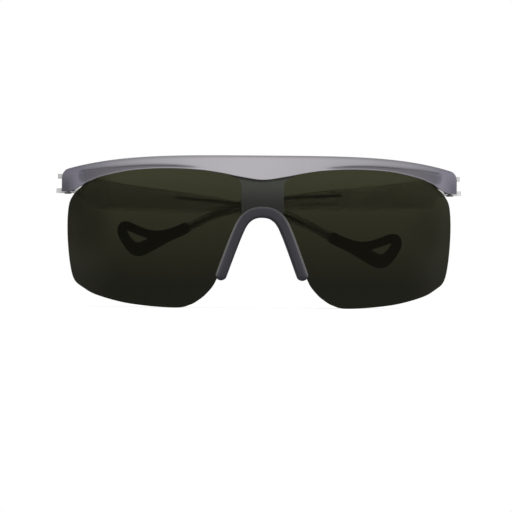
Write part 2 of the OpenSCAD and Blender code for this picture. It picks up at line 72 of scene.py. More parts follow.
class Slot(Enum):
    """Material slots, by the names of their materials."""

    FRAME = "frosted_frame"
    LENS = "tinted_lens"
    PAD = "soft_grey_rubber"
    ARM = "clear_arm"
    TIP = "black_rubber"
    CORE = "core_steel"
    DARK_STEEL = "dark_steel"
    BRIGHT_STEEL = "bright_steel"
    NYLON = "white_nylon"


class Body(Enum):
    """Bodies of the frame that pieces ride on."""

    FRONT = "front"
    LEFT = "left_temple"
    RIGHT = "right_temple"


class Cut(Enum):
    """What one solid does to another."""

    JOIN = "UNION"
    REMOVE = "DIFFERENCE"


class Side(Enum):
    """The two arms, by where they are hinged in the picture."""

    LEFT = -1
    RIGHT = 1

    @property
    def word(self) -> str:
        """Its word in the names of pieces and nodes."""
        return self.name.lower()

    @property
    def body(self) -> Body:
        """Body that its arm rides on."""
        return Body[self.name]


# Smooth curves


def blend(a: float, b: float, c: float, d: float, t: float) -> float:
    """Value between b and c on a smooth curve through four numbers.

    Args:
        a: Number before the stretch.
        b: Number at its start.
        c: Number at its end.
        d: Number after it.
        t: Place on the stretch, from 0 to 1.

    Returns:
        The number there.
    """
    return 0.5 * (
        2 * b + (c - a) * t + (2 * a - 5 * b + 4 * c - d) * t * t
        + (3 * b - a - 3 * c + d) * t * t * t
    )


def smooth_path(points: Path, steps: int, closed: bool = False) -> list[Point]:
    """Smooth curve through points.

    Args:
        points: Points that the curve goes through.
        steps: Pieces that each stretch is divided into.
        closed: Whether it runs on from the last point to the first.

    Returns:
        The curve's points, ends included, none of them twice.
    """
    last = len(points) - 1
    out: list[Point] = []
    for i in range(last + closed):
        near = [
            points[(i + k) % (last + 1) if closed else min(max(i + k, 0), last)]
            for k in (-1, 0, 1, 2)
        ]
        for t in (k / steps for k in range(steps)):
            out.append(tuple(blend(*(q[axis] for q in near), t) for axis in (0, 1)))
    return out if closed else out + [tuple(points[last])]


def spread(a: float, b: float, count: int) -> list[float]:
    """Even steps from a to b, without a itself."""
    return [a + k * (b - a) / count for k in range(1, count + 1)]


def arc(centre: Point, radius: float, start: float, end: float, count: int) -> Path:
    """Points on an arc between two angles in degrees, ends included.

    Args:
        centre: Middle of the arc.
        radius: Its radius.
        start: First angle, anticlockwise from +X.
        end: Last angle.
        count: Number of steps.

    Returns:
        The points, in order.
    """
    x, y = centre
    turns = [math.radians(a) for a in (start, *spread(start, end, count))]
    return [(x + radius * math.cos(a), y + radius * math.sin(a)) for a in turns]


def placed(shares: Path, at: Point, across: float, up: float) -> list[Point]:
    """Points given as shares of two sizes, moved to a place."""
    return [(at[0] + a * across, at[1] + b * up) for a, b in shares]


def around(points: Sequence[Any], i: int) -> tuple[Any, Any]:
    """The points before and after one, or the point itself at an end."""
    return points[max(i - 1, 0)], points[min(i + 1, len(points) - 1)]


def both_halves(points: Path) -> list[Point]:
    """A right half, from the middle outwards, with its mirror image before it."""
    return [(-x, z) for x, z in reversed(points[1:])] + list(points)


def ramp(x: float, a: float, b: float) -> float:
    """Smooth rise from 0 at a to 1 at b."""
    t = min(max((x - a) / (b - a), 0.0), 1.0)
    return t * t * (3 - 2 * t)


def lookup(x: float, pairs: Path) -> float:
    """Height at x on a line through points that run to the right.

    Args:
        x: Place along the line.
        pairs: The line's points, in order.

    Returns:
        The height there, held past both ends.
    """
    before = pairs[0]
    for pair in pairs:
        if pair[0] >= x:
            run = pair[0] - before[0]
            return pair[1] if run <= 0 else (
                before[1] + (pair[1] - before[1]) * (x - before[0]) / run
            )
        before = pair
    return before[1]


# Mesh bench


class Bench:
    """Operations that shape, join and finish the pieces, in millimetres."""

    @staticmethod
    def ring(bm: Mesh, points: Iterable[Vector]) -> list[bmesh.types.BMEdge]:
        """Closed ring of edges through points."""
        verts = [bm.verts.new(p) for p in points]
        return [bm.edges.new((verts[i - 1], verts[i])) for i in range(len(verts))]

    @staticmethod
    def outward(bm: Mesh) -> None:
        """Turns all faces outwards."""
        bmesh.ops.recalc_face_normals(bm, faces=bm.faces[:])

    @staticmethod
    def pull(bm: Mesh) -> list[bmesh.types.BMVert]:
        """Makes a sheet a solid, with a second copy of its points to be moved away."""
        grown = bmesh.ops.extrude_face_region(bm, geom=bm.faces[:])["geom"]
        return [v for v in grown if isinstance(v, bmesh.types.BMVert)]

    @staticmethod
    def loft(rings: Sequence[Sequence[Vector]]) -> Mesh:
        """Solid through rings of points.

        Args:
            rings: Rings with the same number of points, in order.

        Returns:
            A closed mesh with capped ends.
        """
        bm = bmesh.new()
        loops = [Bench.ring(bm, points) for points in rings]
        for near, far in zip(loops, loops[1:]):
            bmesh.ops.bridge_loops(bm, edges=near + far)
        for end in (loops[0], loops[-1]):
            bmesh.ops.edgeloop_fill(bm, edges=end)
        Bench.outward(bm)
        return bm

    @staticmethod
    def plate(
        outlines: Sequence[Path],
        cuts: Sequence[float],
        front: Face,
        back: Face,
        start: float | None = None,
    ) -> Mesh:
        """Sheet cut from outlines in the upright plane, with curved faces.

        Args:
            outlines: The outer outline, and then its holes, as X and Z.
            cuts: X of the upright cuts that let the sheet bend.
            front: Y of the front face at an X.
            back: Y of the back face at an X.
            start: X that the sheet is cut off at, with nothing kept before it.

        Returns:
            A closed mesh.
        """
        bm = bmesh.new()
        edges: list[bmesh.types.BMEdge] = []
        for outline in outlines:
            edges += Bench.ring(bm, [Vector((x, 0, z)) for x, z in outline])
        if len(outlines) > 1:
            bmesh.ops.triangle_fill(bm, use_beauty=True, use_dissolve=True, edges=edges)
        else:
            bmesh.ops.contextual_create(bm, geom=edges)
        for x in ([] if start is None else [start]) + list(cuts):
            bmesh.ops.bisect_plane(
                bm, geom=bm.verts[:] + bm.edges[:] + bm.faces[:], dist=WELD,
                plane_co=(x, 0, 0), plane_no=(1, 0, 0), clear_inner=x == start,
            )
        for v in bm.verts:
            v.co.y = front(v.co.x)
        for v in Bench.pull(bm):
            v.co.y = back(v.co.x)
        Bench.outward(bm)
        return bm

    @staticmethod
    def slab(outline: Path, low: float, high: float) -> Mesh:
        """Flat slab of an outline in X and Y, from one height to another.

        Args:
            outline: Outline as X and Y.
            low: Height of its lower face.
            high: Height of its upper face.

        Returns:
            A closed mesh.
        """
        bm = bmesh.new()
        edges = Bench.ring(bm, [Vector((x, y, low)) for x, y in outline])
        bmesh.ops.contextual_create(bm, geom=edges)
        bmesh.ops.translate(bm, verts=Bench.pull(bm), vec=(0, 0, high - low))
        Bench.outward(bm)
        return bm

    @staticmethod
    def drum(
        radius: float, low: float, high: float, centre: Point = (0, 0), sides: int = 64
    ) -> Mesh:
        """Upright round drum.

        Args:
            radius: Its radius.
            low: Height of its lower end.
            high: Height of its upper end.
            centre: X and Y of its axis.
            sides: Number of its sides.

        Returns:
            A closed mesh.
        """
        bm = bmesh.new()
        bmesh.ops.create_cone(
            bm, cap_ends=True, segments=sides, radius1=radius, radius2=radius,
            depth=high - low, matrix=Matrix.Translation((*centre, (low + high) / 2)),
        )
        return bm

    @staticmethod
    def round_edges(bm: Mesh, width: float, segments: int, angle: float = 50.0) -> None:
        """Rounds the edges that are sharper than an angle in degrees.

        Args:
            bm: The mesh, which is changed.
            width: Width of the rounding.
            segments: Faces across it.
            angle: Least angle between two faces.
        """
        sharp = [
            e for e in bm.edges
            if len(e.link_faces) == 2 and e.calc_face_angle() > math.radians(angle)
        ]
        bmesh.ops.bevel(
            bm, geom=sharp, offset=width, offset_type="OFFSET", segments=segments,
            profile=0.5, affect="EDGES", material=-1, clamp_overlap=True,
        )

    @staticmethod
    def as_object(bm: Mesh, name: str) -> bpy.types.Object:
        """Object that holds a mesh, linked to the scene. The mesh here ends with it.

        Args:
            bm: The mesh, in the object's own units.
            name: Name of the object and its mesh.

        Returns:
            The object.
        """
        mesh = bpy.data.meshes.new(name)
        bm.to_mesh(mesh)
        bm.free()
        obj = bpy.data.objects.new(name, mesh)
        bpy.context.scene.collection.objects.link(obj)
        return obj

    @staticmethod
    def combine(bm: Mesh, steps: Sequence[tuple[Cut, Mesh]]) -> Mesh:
        """Joins solids to a mesh or takes them away, one after the other.

        Args:
            bm: The mesh to start from.
            steps: What to do, and the solid to do it with.

        Returns:
            The new mesh.
        """
        work = Bench.as_object(bm, "work")
        tools = []
        for cut, solid in steps:
            tool = Bench.as_object(solid, "tool")
            step = work.modifiers.new("step", "BOOLEAN")
            step.operation = cut.value
            step.object = tool
            step.solver = "EXACT"
            tools.append(tool)
        graph = bpy.context.evaluated_depsgraph_get()
        mesh = bpy.data.meshes.new_from_object(work.evaluated_get(graph))
        out = bmesh.new()
        out.from_mesh(mesh)
        bpy.data.meshes.remove(mesh)
        for obj in (work, *tools):
            data = obj.data
            bpy.data.objects.remove(obj)
            bpy.data.meshes.remove(data)
        return out

    @staticmethod
    def finish(
        bm: Mesh,
        name: str,
        body: Body,
        slot: Slot,
        material: Material,
        stands_for: str,
        marks: dict[str, Rule] | None = None,
    ) -> bpy.types.Object:
        """Brings a mesh to the frame's place and makes it a piece of the object.

        Args:
            bm: The mesh, in millimetres.
            name: Name of the piece.
            body: Body that it rides on.
            slot: Slot that its finish belongs to; not used.
            material: Its material.
            stands_for: CAD node that it replaces.
            marks: Values to keep at each point, by name, as rules on its place.

        Returns:
            The piece.
        """
        bmesh.ops.remove_doubles(bm, verts=bm.verts[:], dist=WELD)
        Bench.outward(bm)
        values = {
            key: [rule(v.co) for v in bm.verts] for key, rule in (marks or {}).items()
        }
        bmesh.ops.translate(bm, verts=bm.verts[:], vec=(0, SHIFT_Y, 0))
        bmesh.ops.scale(bm, verts=bm.verts[:], vec=(MM, MM, MM))
        obj = Bench.as_object(bm, name)
        for key, numbers in values.items():
            layer = obj.data.attributes.new(key, "FLOAT", "POINT")
            layer.data.foreach_set("value", numbers)
        obj.data.shade_smooth()
        obj.data.set_sharp_from_angle(angle=math.radians(SHARP_ANGLE))
        weights = obj.modifiers.new("even_normals", "WEIGHTED_NORMAL")
        weights.keep_sharp = True
        obj.data.materials.append(material)
        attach(obj, body.value)
        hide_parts(stands_for)
        LOG.info("%s: %d faces", name, len(obj.data.polygons))
        return obj


# Shader expressions


class Val:
    """A shader value that takes part in Python expressions."""

    def __init__(self, tree: bpy.types.NodeTree, socket: Socket) -> None:
        """Keeps the socket and its tree."""
        self.tree = tree
        self.socket = socket

    def math(self, operation: str, *terms: Any) -> "Val":
        """Math node on terms, each a value or a number.

        Args:
            operation: The node's operation.
            terms: What goes in, in order.

        Returns:
            What comes out.
        """
        node = self.tree.nodes.new("ShaderNodeMath")
        node.operation = operation
        for socket, term in zip(node.inputs, terms):
            if isinstance(term, Val):
                self.tree.links.new(term.socket, socket)
            else:
                socket.default_value = term
        return Val(self.tree, node.outputs[0])

    def __add__(self, other: Any) -> "Val":
        """Sum."""
        return self.math("ADD", self, other)

    __radd__ = __add__

    def __sub__(self, other: Any) -> "Val":
        """Difference."""
        return self.math("SUBTRACT", self, other)

    def __rsub__(self, other: Any) -> "Val":
        """Difference from a number."""
        return self.math("SUBTRACT", other, self)

    def __mul__(self, other: Any) -> "Val":
        """Product."""
        return self.math("MULTIPLY", self, other)

    def __truediv__(self, other: Any) -> "Val":
        """Quotient."""
        return self.math("DIVIDE", self, other)

    def __pow__(self, other: Any) -> "Val":
        """Power."""
        return self.math("POWER", self, other)

    def __abs__(self) -> "Val":
        """Size without its sign."""
        return self.math("ABSOLUTE", self)

    def __gt__(self, other: Any) -> "Val":
        """1 where greater, else 0."""
        return self.math("GREATER_THAN", self, other)

    def __lt__(self, other: Any) -> "Val":
        """1 where less, else 0."""
        return self.math("LESS_THAN", self, other)

    def clamp(self) -> "Val":
        """Held between 0 and 1."""
        return self.math("MINIMUM", self.math("MAXIMUM", self, 0.0), 1.0)

    def rise(self, a: float, b: float) -> "Val":
        """Smooth rise from 0 at a to 1 at b.

        Args:
            a: Where it starts.
            b: Where it ends, also below a for a fall.

        Returns:
            The new value.
        """
        node = self.tree.nodes.new("ShaderNodeMapRange")
        node.interpolation_type = "SMOOTHSTEP"
        self.tree.links.new(self.socket, node.inputs["Value"])
        for key, value in (("From Min", a), ("From Max", b)):
            node.inputs[key].default_value = value
        return Val(self.tree, node.outputs["Result"])


class Recipe:
    """A node tree that is written as expressions."""

    def __init__(self, tree: bpy.types.NodeTree) -> None:
        """Starts from an empty tree."""
        self.tree = tree
        tree.nodes.clear()

    @classmethod
    def material(cls, name: str) -> tuple["Recipe", Material]:
        """New material with an empty recipe.

        Args:
            name: Name of the material.

        Returns:
            The recipe and the material.
        """
        material = bpy.data.materials.new(name)
        material.use_nodes = True
        return cls(material.node_tree), material

    def node(
        self, kind: str, settings: dict[str, Any] | None = None,
        inputs: dict[Any, Any] | None = None,
    ) -> bpy.types.Node:
        """Any node.

        Args:
            kind: Its type.
            settings: What is set on it first, with a ramp's stops as "stops".
            inputs: Values or links of its sockets, by name or number.

        Returns:
            The node.
        """
        node = self.tree.nodes.new(kind)
        for key, value in (settings or {}).items():
            if key == "stops":
                self.stops(node, value)
            else:
                setattr(node, key, value)
        for key, value in (inputs or {}).items():
            if isinstance(value, Val):
                self.tree.links.new(value.socket, node.inputs[key])
            elif isinstance(value, Socket):
                self.tree.links.new(value, node.inputs[key])
            else:
                node.inputs[key].default_value = value
        return node

    @staticmethod
    def stops(node: bpy.types.Node, stops: Sequence[tuple[float, Colour]]) -> None:
        """Gives a ramp its stops.

        Args:
            node: The ramp.
            stops: Places and colours, in order.
        """
        elements = node.color_ramp.elements
        while len(elements) < len(stops):
            elements.new(0.5)
        for element, (place, colour) in zip(elements, stops):
            element.position = place
            element.color = (*colour, 1.0)

    def val(self, socket: Socket) -> Val:
        """A socket as a value."""
        return Val(self.tree, socket)

    def place(self) -> tuple[Val, Val, Val, Socket]:
        """X, Y and Z on the object in millimetres, and the place itself.

        Returns:
            The three values, and the socket that they come from.
        """
        place = self.node("ShaderNodeTexCoord").outputs["Object"]
        parts = self.node("ShaderNodeSeparateXYZ", inputs={0: place})
        x, y, z = (self.val(parts.outputs[i]) / MM for i in range(3))
        return x, y, z, place

    def mark(self, name: str) -> Val:
        """A value that the piece keeps at each of its points.

        Args:
            name: Name that the value is kept under.

        Returns:
            The value.
        """
        return self.val(self.node(
            "ShaderNodeAttribute", {"attribute_name": name}
        ).outputs["Fac"])

    def noise(self, place: Any, grain: float, detail: float = 3.0) -> Val:
        """Noise whose grain is a size in millimetres, about 0.5 in the middle.

        Args:
            place: Socket of the place.
            grain: Size of the grain.
            detail: How many finer layers it has.

        Returns:
            The value.
        """
        node = self.node(
            "ShaderNodeTexNoise",
            inputs={"Vector": place, "Scale": 1 / (grain * MM), "Detail": detail},
        )
        return self.val(node.outputs[0])

    def ramp(self, value: Val, stops: Sequence[tuple[float, Colour]]) -> Socket:
        """Colour along a value.

        Args:
            value: Value from 0 to 1.
            stops: Places and colours, in order.

        Returns:
            The colour.
        """
        return self.node(
            "ShaderNodeValToRGB", {"stops": stops}, {0: value}
        ).outputs["Color"]

    def factor(self, value: Val, stops: Path, most: float = 1.0) -> Val:
        """Number along a value, where no stop is above the most."""
        greys = [(place, (number / most,) * 3) for place, number in stops]
        return self.val(self.ramp(value, greys)) * most

    def scaled(self, colour: Any, factor: Any) -> Socket:
        """Colour made lighter or darker by a value.

        Args:
            colour: The colour, a socket or three numbers.
            factor: What it is multiplied by.

        Returns:
            The new colour.
        """
        return self.node(
            "ShaderNodeVectorMath", {"operation": "SCALE"}, {0: colour, "Scale": factor}
        ).outputs[0]

    def mixed(self, factor: Any, a: Any, b: Any) -> Socket:
        """Colour between a and b.

        Args:
            factor: Share of b, from 0 to 1.
            a: One colour, a socket or three numbers.
            b: The other colour.

        Returns:
            The mixed colour.
        """
        inputs = {0: factor}
        for key, value in ((6, a), (7, b)):
            inputs[key] = (*value, 1.0) if isinstance(value, tuple) else value
        return self.node("ShaderNodeMix", {"data_type": "RGBA"}, inputs).outputs[2]

    def bump(self, height: Val, depth: float) -> Socket:
        """Normal of a surface whose height varies by a depth in millimetres."""
        inputs = {"Height": height, "Distance": depth * MM, "Strength": 1.0}
        return self.node("ShaderNodeBump", inputs=inputs).outputs[0]

    def principled(self, inputs: dict[Any, Any]) -> Socket:
        """Principled shader."""
        return self.node("ShaderNodeBsdfPrincipled", inputs=inputs).outputs[0]

    def surface(self, shader: Socket) -> None:
        """Ends the recipe with a surface shader."""
        self.node("ShaderNodeOutputMaterial", inputs={"Surface": shader})

    def see_through(self, solid: Any, shader: Socket, tint: Colour) -> Socket:
        """Shader that lets tinted light through where it isn't solid.

        Args:
            solid: How much of it is solid, a value.
            shader: Shader of the solid part.
            tint: What the rest lets through.

        Returns:
            The mixed shader.
        """
        open_part = self.node(
            "ShaderNodeBsdfTransparent", inputs={"Color": (*tint, 1.0)}
        ).outputs[0]
        return self.node(
            "ShaderNodeMixShader", inputs={0: solid, 1: open_part, 2: shader}
        ).outputs[0]


# Finishes


@dataclass(frozen=True)
class FrostedFrame:
    """Frosted grey plastic of the brow bar, smokier towards its ends, with painted
    shade.
    """

    half_w: float
    # The tones darken towards the ends partly in painted shade, where the wrapped bar
    # turns away from the light; the sides factor lightens and darkens the bar along its
    # length.
    tones: tuple[tuple[float, Colour], ...] = (
        (0.00, (0.418, 0.405, 0.432)),
        (0.30, (0.408, 0.395, 0.422)),
        (0.50, (0.366, 0.357, 0.384)),
        (0.75, (0.294, 0.285, 0.313)),
        (0.86, (0.240, 0.232, 0.266)),
        (0.91, (0.205, 0.194, 0.240)),
        (1.00, (0.200, 0.189, 0.238)),
    )
    sides: tuple[Point, ...] = (
        (0.025, 0.95), (0.15, 1.11), (0.40, 1.06), (0.65, 0.94), (0.83, 0.98),
        (0.97, 1.12),
    )
    middle: Point = (0.4, 0.6)
    scoop_tone: float = 0.49
    rim_tone: float = 0.62
    rim_h: Point = (0.1, 1.5)
    end_left: float = 0.42
    end_right: float = 0.58
    base_tone: float = 0.93
    grain: float = 0.16
    grain_depth: float = 0.012
    grain_tone: float = 0.08
    cloud: float = 6.0
    cloud_tone: float = 0.06
    rough: float = 0.42
    grain_rough: float = 0.16
    ior: float = 1.46
    specular: float = 0.35

    def dress(self) -> Material:
        """Material of the bar.

        Returns:
            The material, which reads the bar's marks.
        """
        r, material = Recipe.material(Slot.FRAME.value)
        x, _, _, place = r.place()
        fine, cloud = r.noise(place, self.grain), r.noise(place, self.cloud, 2.0)
        across = x / (2 * self.half_w) + 0.5
        # Painted light leaves the right end lighter than the left.
        right_end_painted_light = across.rise(*self.middle) * (self.end_right - self.end_left)
        mottle = self.base_tone + fine * self.grain_tone + cloud * self.cloud_tone
        shade = mottle * r.factor(across, self.sides, 2.0)
        for where, fall in (
            # painted shade in the floor of the scoops
            (r.mark("scoop"), 1 - self.scoop_tone),
            # painted shade along the top edge of the bar's front
            (1.0 - r.mark("below_top").rise(*self.rim_h), 1 - self.rim_tone),
            # painted shade on the lower outer end pieces, less on the right
            (r.mark("end"), (1 - self.end_left) - right_end_painted_light),
        ):
            shade = shade * (1.0 - where * fall)
        tone = r.ramp(abs(x) / self.half_w, self.tones)
        r.surface(r.principled({
            "Base Color": r.scaled(tone, shade),
            "Roughness": self.rough + fine * self.grain_rough,
            "IOR": self.ior,
            "Specular IOR Level": self.specular,
            "Normal": r.bump(fine, self.grain_depth),
        }))
        return material


@dataclass(frozen=True)
class TintedLens:
    """Dark green-grey tint, deeper towards the bottom in painted shade, with the lit
    tongue painted where bonded.

    Heights, and distances from the middle, are in millimetres.
    """

    height: float
    tongue_half_w: float
    tongue_fillet: float
    bar_low: float
    tint: Colour = (0.40, 0.405, 0.305)
    # Solid share by height, more towards the bottom: painted shade of what lies behind
    # the lens.
    solid: tuple[Point, ...] = (
        (0.00, 0.790), (0.16, 0.805), (0.41, 0.700), (0.67, 0.6255), (0.935, 0.498),
        (1.00, 0.480),
    )
    bond_h: float = 13.0
    bond_fade: Point = (11.0, 1.0)
    # Grey of the tongue behind the bonded patch, painted on with its light, darker
    # towards the bottom.
    bond_top: Colour = (0.058, 0.060, 0.051)
    bond_low: Colour = (0.026, 0.026, 0.025)
    body_top: Colour = (0.0069, 0.0066, 0.0038)
    body_low: Colour = (0.0075, 0.0071, 0.0064)
    body_from: Point = (8, 17)
    # Painted light: a lighter haze at the lens's lower ends, its outer rims and its
    # right side.
    end_haze: Colour = (0.0180, 0.0170, 0.0150)
    end_from: Point = (50, 67)
    end_below: Point = (14, 26)
    rim_from: Point = (62.5, 66)
    rim_haze: float = 0.4
    right_from: Point = (58, 64)
    right_haze: float = 0.25
    # Painted shade at the upper ends of the lens, more on the left and in its upper
    # left corner.
    dusk_from: Point = (50, 60)
    dusk_above: Point = (14, 32)
    dusk_left: float = 0.10
    dusk_right: float = 0.04
    corner_from: Point = (60, 66)
    corner_above: Point = (30, 37)
    corner_dusk: float = 0.10
    cloud: float = 9.0
    cloud_solid: float = 0.02
    film: float = 0.9
    film_rough: float = 0.04
    rough: float = 0.06
    ior: float = 1.5
    specular: float = 0.03
    wave: float = 14.0
    wave_depth: float = 0.01

    def bond(self, side: Val, z: Val) -> Val:
        """1 on the patch that is bonded to the tongue, 0 on the rest.

        Args:
            side: Distance from the middle.
            z: Height.

        Returns:
            The value.
        """
        corner = self.tongue_half_w + self.tongue_fillet
        low = self.bar_low - self.tongue_fillet
        gap = ((side - corner) ** 2.0 + (z - low) ** 2.0) ** 0.5
        fillet = (side < corner) * (z > low) * (gap > self.tongue_fillet)
        inside = (side < self.tongue_half_w) + fillet
        return (inside * (z > self.bar_low - self.bond_h)).clamp()

    def dusk(self, x: Val, z: Val) -> Val:
        """Painted shade at the lens's upper ends, more on the left and in its upper
        left corner.

        Args:
            x: Place across.
            z: Height.

        Returns:
            What is added to the solid share.
        """
        left = 0.0 - x
        upper = z.rise(*self.dusk_above) * (
            left.rise(*self.dusk_from) * self.dusk_left
            + x.rise(*self.dusk_from) * self.dusk_right
        )
        corner = z.rise(*self.corner_above) * left.rise(*self.corner_from)
        return upper + corner * self.corner_dusk

    def dress(self) -> Material:
        """Material of the lens.

        Returns:
            The material.
        """
        r, material = Recipe.material(Slot.LENS.value)
        x, _, z, place = r.place()
        side = abs(x)
        bond = self.bond(side, z)
        up = z.rise(*(self.bar_low - below for below in self.bond_fade))
        # painted light of the tongue seen through the lens
        tongue = r.mixed(up, self.bond_low, self.bond_top)
        body = r.mixed(z.rise(*self.body_from), self.body_low, self.body_top)
        # where the painted light of the haze falls
        ends = (
            side.rise(*self.end_from) * (1.0 - z.rise(*self.end_below))
            + side.rise(*self.rim_from) * self.rim_haze
            + x.rise(*self.right_from) * self.right_haze
        )
        body = r.mixed(ends.clamp(), body, self.end_haze)
        gloss = r.principled({
            "Base Color": r.mixed(bond, body, tongue),
            "Roughness": self.rough + r.noise(place, self.film) * self.film_rough,
            "IOR": self.ior,
            "Specular IOR Level": self.specular,
            "Normal": r.bump(r.noise(place, self.wave, 1.0), self.wave_depth),
        })
        cloud = (r.noise(place, self.cloud, 1.0) - 0.5) * self.cloud_solid
        # The solid share carries painted shade: more towards the bottom and at the
        # upper ends.
        solid = r.factor(z / self.height, self.solid) + cloud + self.dusk(x, z)
        r.surface(r.see_through(solid * (1.0 - bond) + bond, gloss, self.tint))
        return material


@dataclass(frozen=True)
class SoftPad:
    """Matt grey rubber of the nose pad, with a paler thin lip and painted light on its
    legs.
    """

    tone: Colour = (0.0252, 0.0235, 0.0308)
    lip: Colour = (0.114, 0.114, 0.111)
    crest_from: Point = (28, 35)
    crest_dim: float = 0.66
    # Painted light, lighter towards the outer side of the pad's lower legs.
    leg_glow: float = 1.2
    glow_out: Point = (-0.05, 0.45)
    glow_below: Point = (12, 34)
    base_tone: float = 0.9
    grain: float = 0.22
    grain_depth: float = 0.014
    grain_tone: float = 0.12
    cloud: float = 3.0
    cloud_tone: float = 0.08
    rough: float = 0.62
    grain_rough: float = 0.14
    specular: float = 0.28

    def dress(self) -> Material:
        """Material of the pad.

        Returns:
            The material, which reads the pad's marks.
        """
        r, material = Recipe.material(Slot.PAD.value)
        _, _, z, place = r.place()
        fine, cloud = r.noise(place, self.grain), r.noise(place, self.cloud, 2.0)
        lip = r.mark("lip") * (1.0 - z.rise(*self.crest_from) * self.crest_dim)
        # painted light on the outer side of the lower legs
        painted_light = r.mark("out").rise(*self.glow_out) * (1.0 - z.rise(*self.glow_below))
        body = r.scaled(self.tone, 1.0 + painted_light * self.leg_glow)
        mottle = self.base_tone + fine * self.grain_tone + cloud * self.cloud_tone
        r.surface(r.principled({
            "Base Color": r.scaled(r.mixed(lip, body, self.lip), mottle),
            "Roughness": self.rough + fine * self.grain_rough,
            "Specular IOR Level": self.specular,
            "Normal": r.bump(fine, self.grain_depth),
        }))
        return material


@dataclass(frozen=True)
class ClearArm:
    """Clear plastic of the arms, cloudy at its edges and towards the fork, the right
    arm clearer in painted light.

    Places are distances from the hinge, or X for the right arm, in millimetres.
    """

    hinge_x: float
    tone: Colour = (0.78, 0.78, 0.79)
    fork_tone: Colour = (0.46, 0.46, 0.47)
    fork_before: Point = (7, 3)
    tint: Colour = (0.985, 0.985, 0.98)
    solid: float = 0.36
    edge: float = 0.45
    edge_blend: float = 0.35
    lug_end: Point = (2.5, 5.0)
    lug_solid: float = 0.10
    root_end: Point = (6, 18)
    root_clear: float = 0.5
    rod_from: Point = (58, 80)
    rod_clear: float = 0.08
    right_from: Point = (14, 38)
    # Painted light: the right arm lets more of the background through.
    right_clear: float = 0.25
    thin_h: float = 2.1
    thin_clear: float = 0.9
    base_tone: float = 0.94
    grain: float = 0.3
    grain_depth: float = 0.004
    grain_share: float = 0.1
    rough: float = 0.22
    specular: float = 0.4

    def dress(self) -> Material:
        """Material of the arms.

        Returns:
            The material, which reads the blades' marks.
        """
        r, material = Recipe.material(Slot.ARM.value)
        x, _, _, place = r.place()
        fine, along = r.noise(place, self.grain) * self.grain_share, r.mark("along")
        near_fork = abs(x).rise(*(self.hinge_x - before for before in self.fork_before))
        tone = r.mixed(near_fork, self.tone, self.fork_tone)
        gloss = r.principled({
            "Base Color": r.scaled(tone, self.base_tone + fine),
            "Roughness": self.rough + fine,
            "Specular IOR Level": self.specular,
            "Normal": r.bump(r.noise(place, self.grain), self.grain_depth),
        })
        facing = r.node("ShaderNodeLayerWeight", inputs={"Blend": self.edge_blend})
        lug = 1.0 - along.rise(*self.lug_end)
        root = (1.0 - along.rise(*self.root_end)) * (1.0 - lug)
        rod = along.rise(*self.rod_from)
        solid = self.solid + r.val(facing.outputs["Facing"]) * self.edge
        solid = (solid * (1.0 - root * self.root_clear) + lug * self.lug_solid).clamp()
        for where, clear in (
            (1.0 - r.mark("over_low").rise(0.0, self.thin_h), self.thin_clear),
            (rod, self.rod_clear),
            # painted light on the right arm
            (x.rise(*self.right_from) * (1.0 - rod), self.right_clear),
        ):
            solid = solid * (1.0 - where * clear)
        r.surface(r.see_through(solid, gloss, self.tint))
        return material


@dataclass(frozen=True)
class BlackRubber:
    """Satin black rubber of the tips."""

    tone: Colour = (0.012, 0.012, 0.011)
    base_tone: float = 0.8
    grain: float = 0.2
    grain_depth: float = 0.012
    wear: float = 5.0
    mottle: float = 0.3
    rough: float = 0.5
    grain_rough: float = 0.15
    wear_rough: float = 0.08
    specular: float = 0.35

    def dress(self) -> Material:
        """Material of the tips.

        Returns:
            The material.
        """
        r, material = Recipe.material(Slot.TIP.value)
        place = r.place()[3]
        fine, wear = r.noise(place, self.grain), r.noise(place, self.wear)
        shade = self.base_tone + (fine + wear) * self.mottle
        r.surface(r.principled({
            "Base Color": r.scaled(self.tone, shade),
            "Roughness": self.rough + fine * self.grain_rough + wear * self.wear_rough,
            "Specular IOR Level": self.specular,
            "Normal": r.bump(fine, self.grain_depth),
        }))
        return material


@dataclass(frozen=True)
class Metal:
    """Brushed or turned metal of the small fittings."""

    slot: Slot
    tone: Colour
    rough: float
    base_tone: float = 0.88
    grain: float = 0.12
    ring_scale: float = 14.0
    mottle: float = 0.12
    grain_rough: float = 0.1
    ring_rough: float = 0.08
    ring_share: float = 0.6
    depth: float = 0.006

    def dress(self) -> Material:
        """Material of a fitting.

        Returns:
            The material, named after its slot.
        """
        r, material = Recipe.material(self.slot.value)
        _, _, z, place = r.place()
        grain = r.noise(place, self.grain)
        rings = r.val(r.node(
            "ShaderNodeTexNoise", {"noise_dimensions": "1D"},
            {"W": z, "Scale": self.ring_scale},
        ).outputs[0])
        shade = self.base_tone + (grain + rings) * self.mottle
        rough = self.rough + grain * self.grain_rough + rings * self.ring_rough
        height = rings * self.ring_share + grain * (1 - self.ring_share)
        r.surface(r.principled({
            "Base Color": r.scaled(self.tone, shade),
            "Metallic": 1.0,
            "Roughness": rough,
            "Normal": r.bump(height, self.depth),
        }))
        return material


@dataclass(frozen=True)
class Nylon:
    """White nylon of the hinge washers."""

    tone: Colour = (0.72, 0.72, 0.69)
    base_tone: float = 0.92
    grain: float = 0.15
    grain_tone: float = 0.14
    rough: float = 0.45
    grain_rough: float = 0.1
    depth: float = 0.006

    def dress(self) -> Material:
        """Material of the washers.

        Returns:
            The material.
        """
        r, material = Recipe.material(Slot.NYLON.value)
        fine = r.noise(r.place()[3], self.grain)
        r.surface(r.principled({
            "Base Color": r.scaled(self.tone, self.base_tone + fine * self.grain_tone),
            "Roughness": self.rough + fine * self.grain_rough,
            "Normal": r.bump(fine, self.depth),
        }))
        return material


# Sizes that the pieces share


